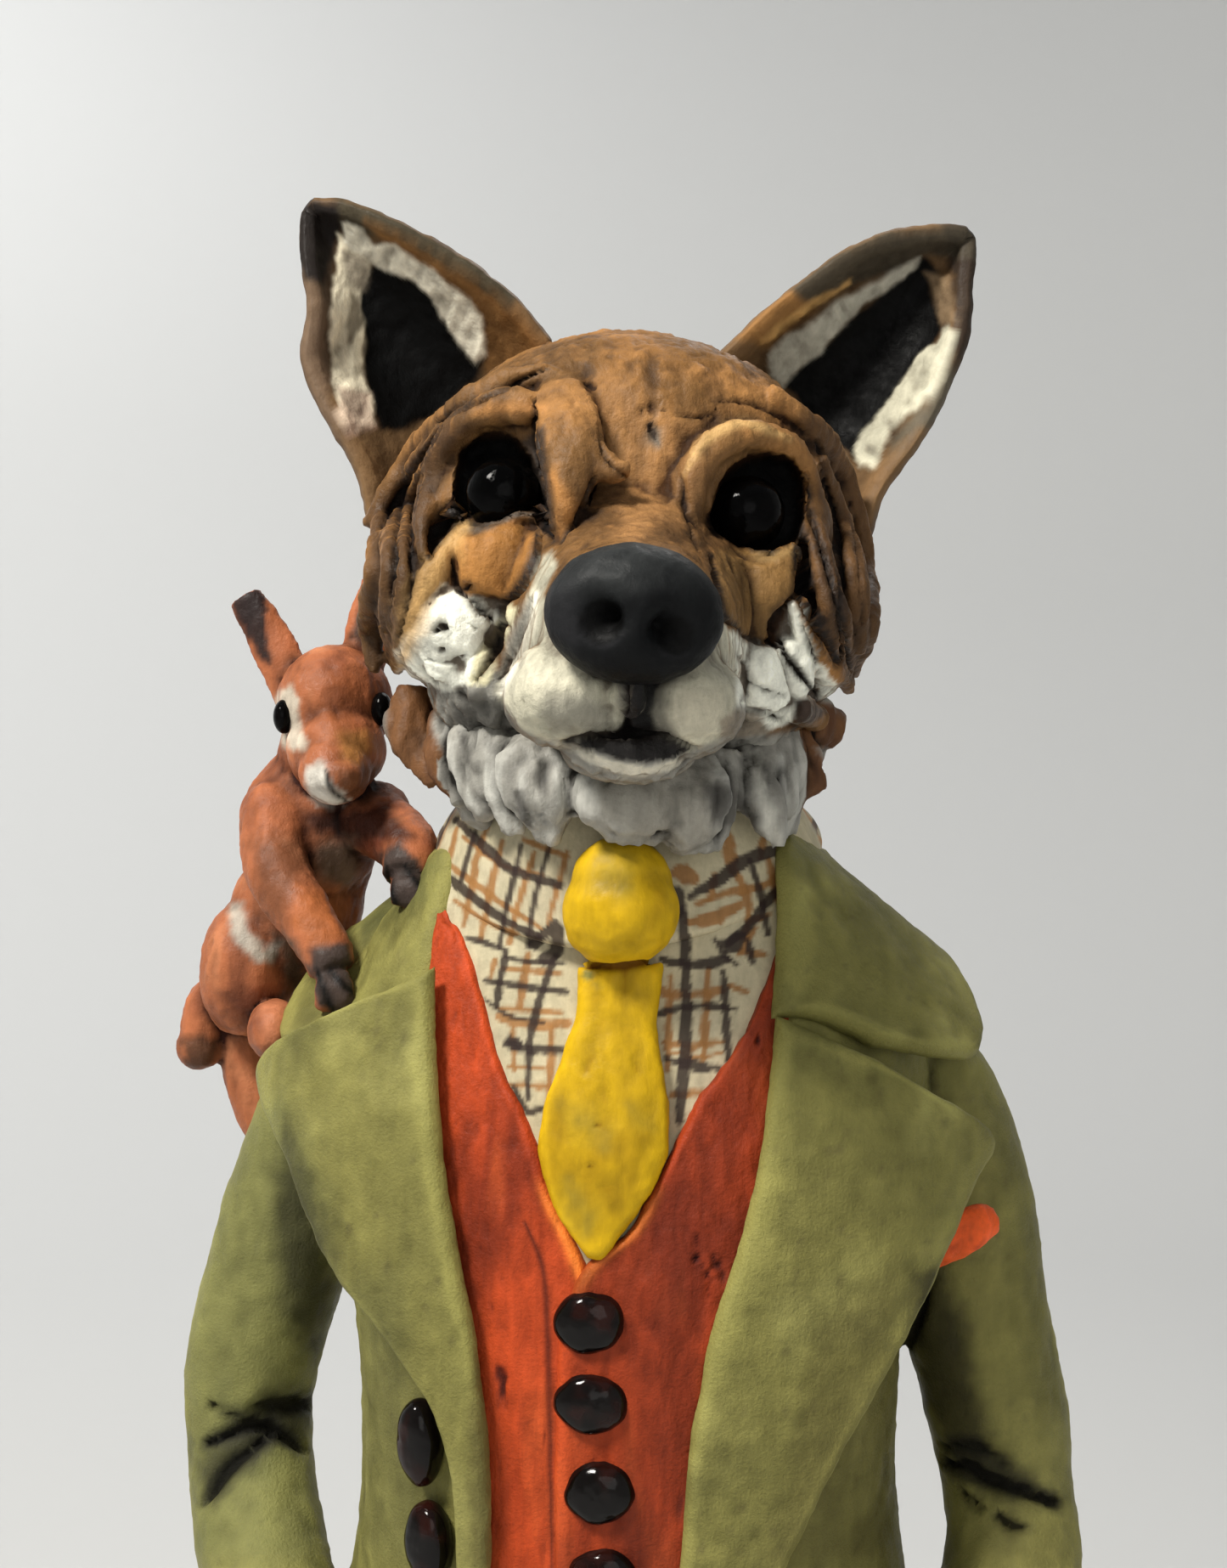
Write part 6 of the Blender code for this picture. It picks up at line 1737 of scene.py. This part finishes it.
squirrel.push(0.4 * rough(p, (4, 4, 12), 171) + 0.2 * np.abs(rough(p, 3, 172)) + 0.15 * rough(p, 2.4, 173))

# %% Paint of the squirrel
SQUIRREL_AREAS = [
    ((22, 22, 24), 0.95, 5, [(262, 703), (276, 692), (298, 690), (312, 702), (316, 740), (320, 785),
        (304, 772), (286, 742)]),
    ((40, 33, 28), 0.9, 5, [(410, 748), (428, 712), (445, 685), (470, 690), (450, 765), (430, 768)]),
    ((108, 58, 28), 0.5, 16, [(380, 790), (420, 790), (425, 860), (395, 880), (375, 850)]),
    ((150, 104, 54), 0.8, 9, [(400, 862), (430, 860), (440, 880), (424, 902), (402, 892)]),
    ((178, 170, 154), 0.9, 5, [(326, 812), (345, 806), (354, 828), (350, 852), (362, 870), (360, 884),
        (342, 884), (330, 868), (324, 840)]),
    # painted shadow over the mouth, under the muzzle
    ((66, 44, 28), 0.75, 10, [(395, 905), (448, 900), (460, 930), (430, 950), (402, 940)]),
    ((186, 182, 172), 0.95, 5, [(364, 902), (382, 899), (390, 925), (412, 942), (396, 952), (372, 947),
        (360, 925)]),
    ((34, 14, 11), 0.9, 10, [(360, 956), (400, 954), (452, 945), (488, 985), (440, 998), (400, 988),
        (365, 978)]),
    ((86, 76, 66), 0.85, 12, [(375, 990), (420, 985), (428, 1020), (412, 1045), (380, 1040), (366, 1010)]),
    ((86, 54, 36), 0.7, 16, [(296, 990), (350, 980), (376, 1015), (345, 1045), (338, 1090), (305, 1092)]),
    ((142, 82, 46), 0.9, 8, [(348, 1044), (392, 1050), (406, 1105), (372, 1118), (345, 1090)]),
    ((104, 54, 36), 0.7, 10, [(420, 990), (452, 990), (458, 1050), (440, 1060), (425, 1020)]),
    ((46, 43, 41), 0.95, 6, [(366, 1114), (410, 1108), (428, 1150), (424, 1174), (398, 1206), (372, 1184),
        (362, 1140)]),
    ((44, 41, 39), 0.95, 6, [(444, 1004), (470, 994), (510, 1030), (498, 1056), (470, 1078), (442, 1068)]),
    ((156, 150, 138), 0.9, 6, [(268, 1062), (284, 1065), (292, 1095), (312, 1114), (334, 1110), (320, 1132),
        (296, 1130), (274, 1105)]),
    ((60, 54, 46), 0.85, 8, [(320, 1098), (347, 1105), (360, 1140), (354, 1174), (338, 1162), (330, 1130)]),
    ((80, 42, 28), 0.7, 12, [(262, 1170), (300, 1160), (330, 1166), (312, 1218), (284, 1212)]),
    ((156, 98, 68), 0.8, 8, [(308, 1180), (350, 1176), (357, 1226), (320, 1247), (306, 1226)]),
    ((62, 42, 30), 0.9, 8, [(208, 1222), (262, 1222), (252, 1262), (220, 1262)]),
]
SQUIRREL_LINES = [
    ((12, 9, 9), 0.95, 4, [(383, 905), (391, 930), (412, 946)]),
    ((6, 6, 6), 1, 5, [(372, 1140), (384, 1172), (396, 1198)]),
    ((6, 6, 6), 1, 4.5, [(388, 1142), (405, 1160), (422, 1172)]),
    ((6, 6, 6), 1, 5, [(455, 1020), (461, 1050), (470, 1072)]),
    ((6, 6, 6), 1, 4.5, [(476, 1018), (490, 1038), (504, 1050)]),
]
brush = Brush(squirrel, (142, 84, 54), 175, back=70.0)
brush.wash((92, 50, 34), step(rough(p, (7, 7, 14), 176), 0, 1) * 0.6)
brush.wash((170, 112, 78), step(-rough(p, (7, 7, 14), 176), 0.2, 1) * 0.5)
for row in SQUIRREL_AREAS:
    brush.area(*row, 0.8)
for row in SQUIRREL_LINES:
    brush.line(*row)
SQUIRREL_FUR = painted("squirrel_fur", wash=(86, 58, 46), groove_wash_and_shade=1.0, bump=0.9)
piece("squirrel", squirrel, SQUIRREL_FUR, brush.colours, 18)
beads = joined([ball(as_is, centre, (2.8, 4.4, 4.6), around=32, up=20) for centre in SQUIRREL_EYES])
piece("squirrel_eyes", beads, MATERIALS["black_glaze"], coated(beads, (8, 7, 7)))

# %% [markdown]
# The base is a disc, a little wider than deep, with a rounded rim: a profile of inset and depth, turned round
# an oval. This one piece stands in for the whole plain solid, which is hidden once the clay is dressed.

# %% Base
BASE_HALF_WIDTH, BASE_HALF_DEPTH = 120, 114
depth_of = np.array([0.3, 2.0, 8.0, 18.0, 19.4, 20.0])
inset = np.array([1.6, 0.2, 0.0, 0.0, 1.2, 3.4])
profile = through(np.column_stack([inset, depth_of]), 40)
x, y = oval(240)
rim = rings(np.stack(np.broadcast_arrays(
    x * (BASE_HALF_WIDTH - profile[:, :1]), y * (BASE_HALF_DEPTH - profile[:, :1]),
    profile[:, 1:2] - BASE_THICKNESS), -1))
base = fuse("base", [rim], 3.0, 1)
base.push((0.35 * rough(base.points, (14, 14, 9), 181) - 0.25) * step(base.points[:, 2], -18.5, -16))
base_dark = step(rough(base.points, (18, 18, 9), 183), 0, 1) * 0.7
base_paint = lay(coated(base, (104, 92, 74)), (74, 64, 52), base_dark)
stand = piece("base", base, painted("base_slip", wash=(86, 74, 60), bump=0.6), base_paint, 7)
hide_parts("fox_figure")

# %% [markdown]
# ## Studio
#
# The figure stands on a pale floor that curves up into a pale wall all round, as in a photographer's bowl, so
# no horizon shows from any side. One large soft light stands at the upper left in front, a weaker one at the
# right, and a dim sky fills the shadows.

# %% Floor, light and camera
BOWL_AROUND, PICTURE_LONG_SIDE, SENSOR = 96, 1846, 36.0


def studio_bowl():
    """A profile of radius and height turned about the z axis: flat, then a quarter circle, then a wall."""
    bend = np.radians(np.linspace(0, 90, 16))
    radius = np.concatenate([[0.001, 0.6, 1.2], 1.4 + 1.1 * np.sin(bend), [2.5]])
    height = np.concatenate([[0, 0, 0], 1.1 - 1.1 * np.cos(bend), [3.2]])
    angle = np.linspace(0, 2 * math.pi, BOWL_AROUND, endpoint=False)
    rows = np.stack([
        radius[:, None] * np.cos(angle), radius[:, None] * np.sin(angle),
        height[:, None] * np.ones(BOWL_AROUND),
    ], -1)
    i = np.arange((len(radius) - 1) * BOWL_AROUND).reshape(-1, BOWL_AROUND)
    j = np.roll(i, -1, 1)
    faces = np.stack([i, j, j + BOWL_AROUND, i + BOWL_AROUND], -1).reshape(-1, 4)
    mesh = bpy.data.meshes.new("studio_floor")
    mesh.from_pydata(rows.reshape(-1, 3).tolist(), [], faces.tolist())
    mesh.shade_smooth()
    floor = bpy.data.objects.new("studio_floor", mesh)
    bpy.context.scene.collection.objects.link(floor)
    paper = bpy.data.materials.new("studio_paper")
    paper.use_nodes = True
    shader = paper.node_tree.nodes["Principled BSDF"]
    shader.inputs["Base Color"].default_value = (0.64, 0.645, 0.64, 1)
    shader.inputs["Roughness"].default_value = 0.9
    mesh.materials.append(paper)


def soft_light(name, where, target, size, power, colour):
    """A round area light turned to its target by the arc tangent and the arc sine of the way there."""
    lamp = bpy.data.lights.new(name, "AREA")
    lamp.shape, lamp.size, lamp.energy, lamp.color = "DISK", size, power, colour
    made = bpy.data.objects.new(name, lamp)
    bpy.context.scene.collection.objects.link(made)
    made.location = where
    made.visible_camera = False
    direction = np.subtract(target, where)
    yaw, pitch = math.atan2(direction[1], direction[0]), math.asin(direction[2] / np.linalg.norm(direction))
    made.rotation_euler = (math.pi / 2 + pitch, 0, yaw - math.pi / 2)


studio_bowl()
soft_light("key", (-0.8, -0.75, 1.75), (0, 0, 0.5), 0.42, 40, (1.0, 0.965, 0.9))
soft_light("fill", (0.2, -1.6, 0.9), (0, 0, 0.45), 1.2, 4, (1.0, 0.98, 0.95))
soft_light("back", (0.5, 1.3, 1.9), (0, 0, 0.55), 0.8, 5, (1.0, 0.98, 0.95))
soft_light("wall", (-0.9, 1.0, 1.9), (-1.2, 2.4, 1.0), 0.9, 16, (1.0, 1.0, 1.0))
world = bpy.data.worlds.new("studio_sky")
bpy.context.scene.world = world
world.use_nodes = True
sky = world.node_tree.nodes["Background"].inputs
sky["Color"].default_value, sky["Strength"].default_value = (0.9, 0.93, 1.0, 1), 0.26
bpy.context.scene.view_settings.view_transform = "Standard"

camera = bpy.data.objects.new("camera", bpy.data.cameras.new("camera"))
bpy.context.scene.collection.objects.link(camera)
camera.location = (-0.004, -0.45, 0.50)
camera.rotation_euler = (math.pi / 2, 0, 0)
camera.data.sensor_fit, camera.data.sensor_width = "AUTO", SENSOR
camera.data.lens = SENSOR * PICTURE_REACH / PICTURE_LONG_SIDE
camera.data.clip_start = 0.02
bpy.context.scene.camera = camera
print("lens, mm:", round(camera.data.lens, 1))
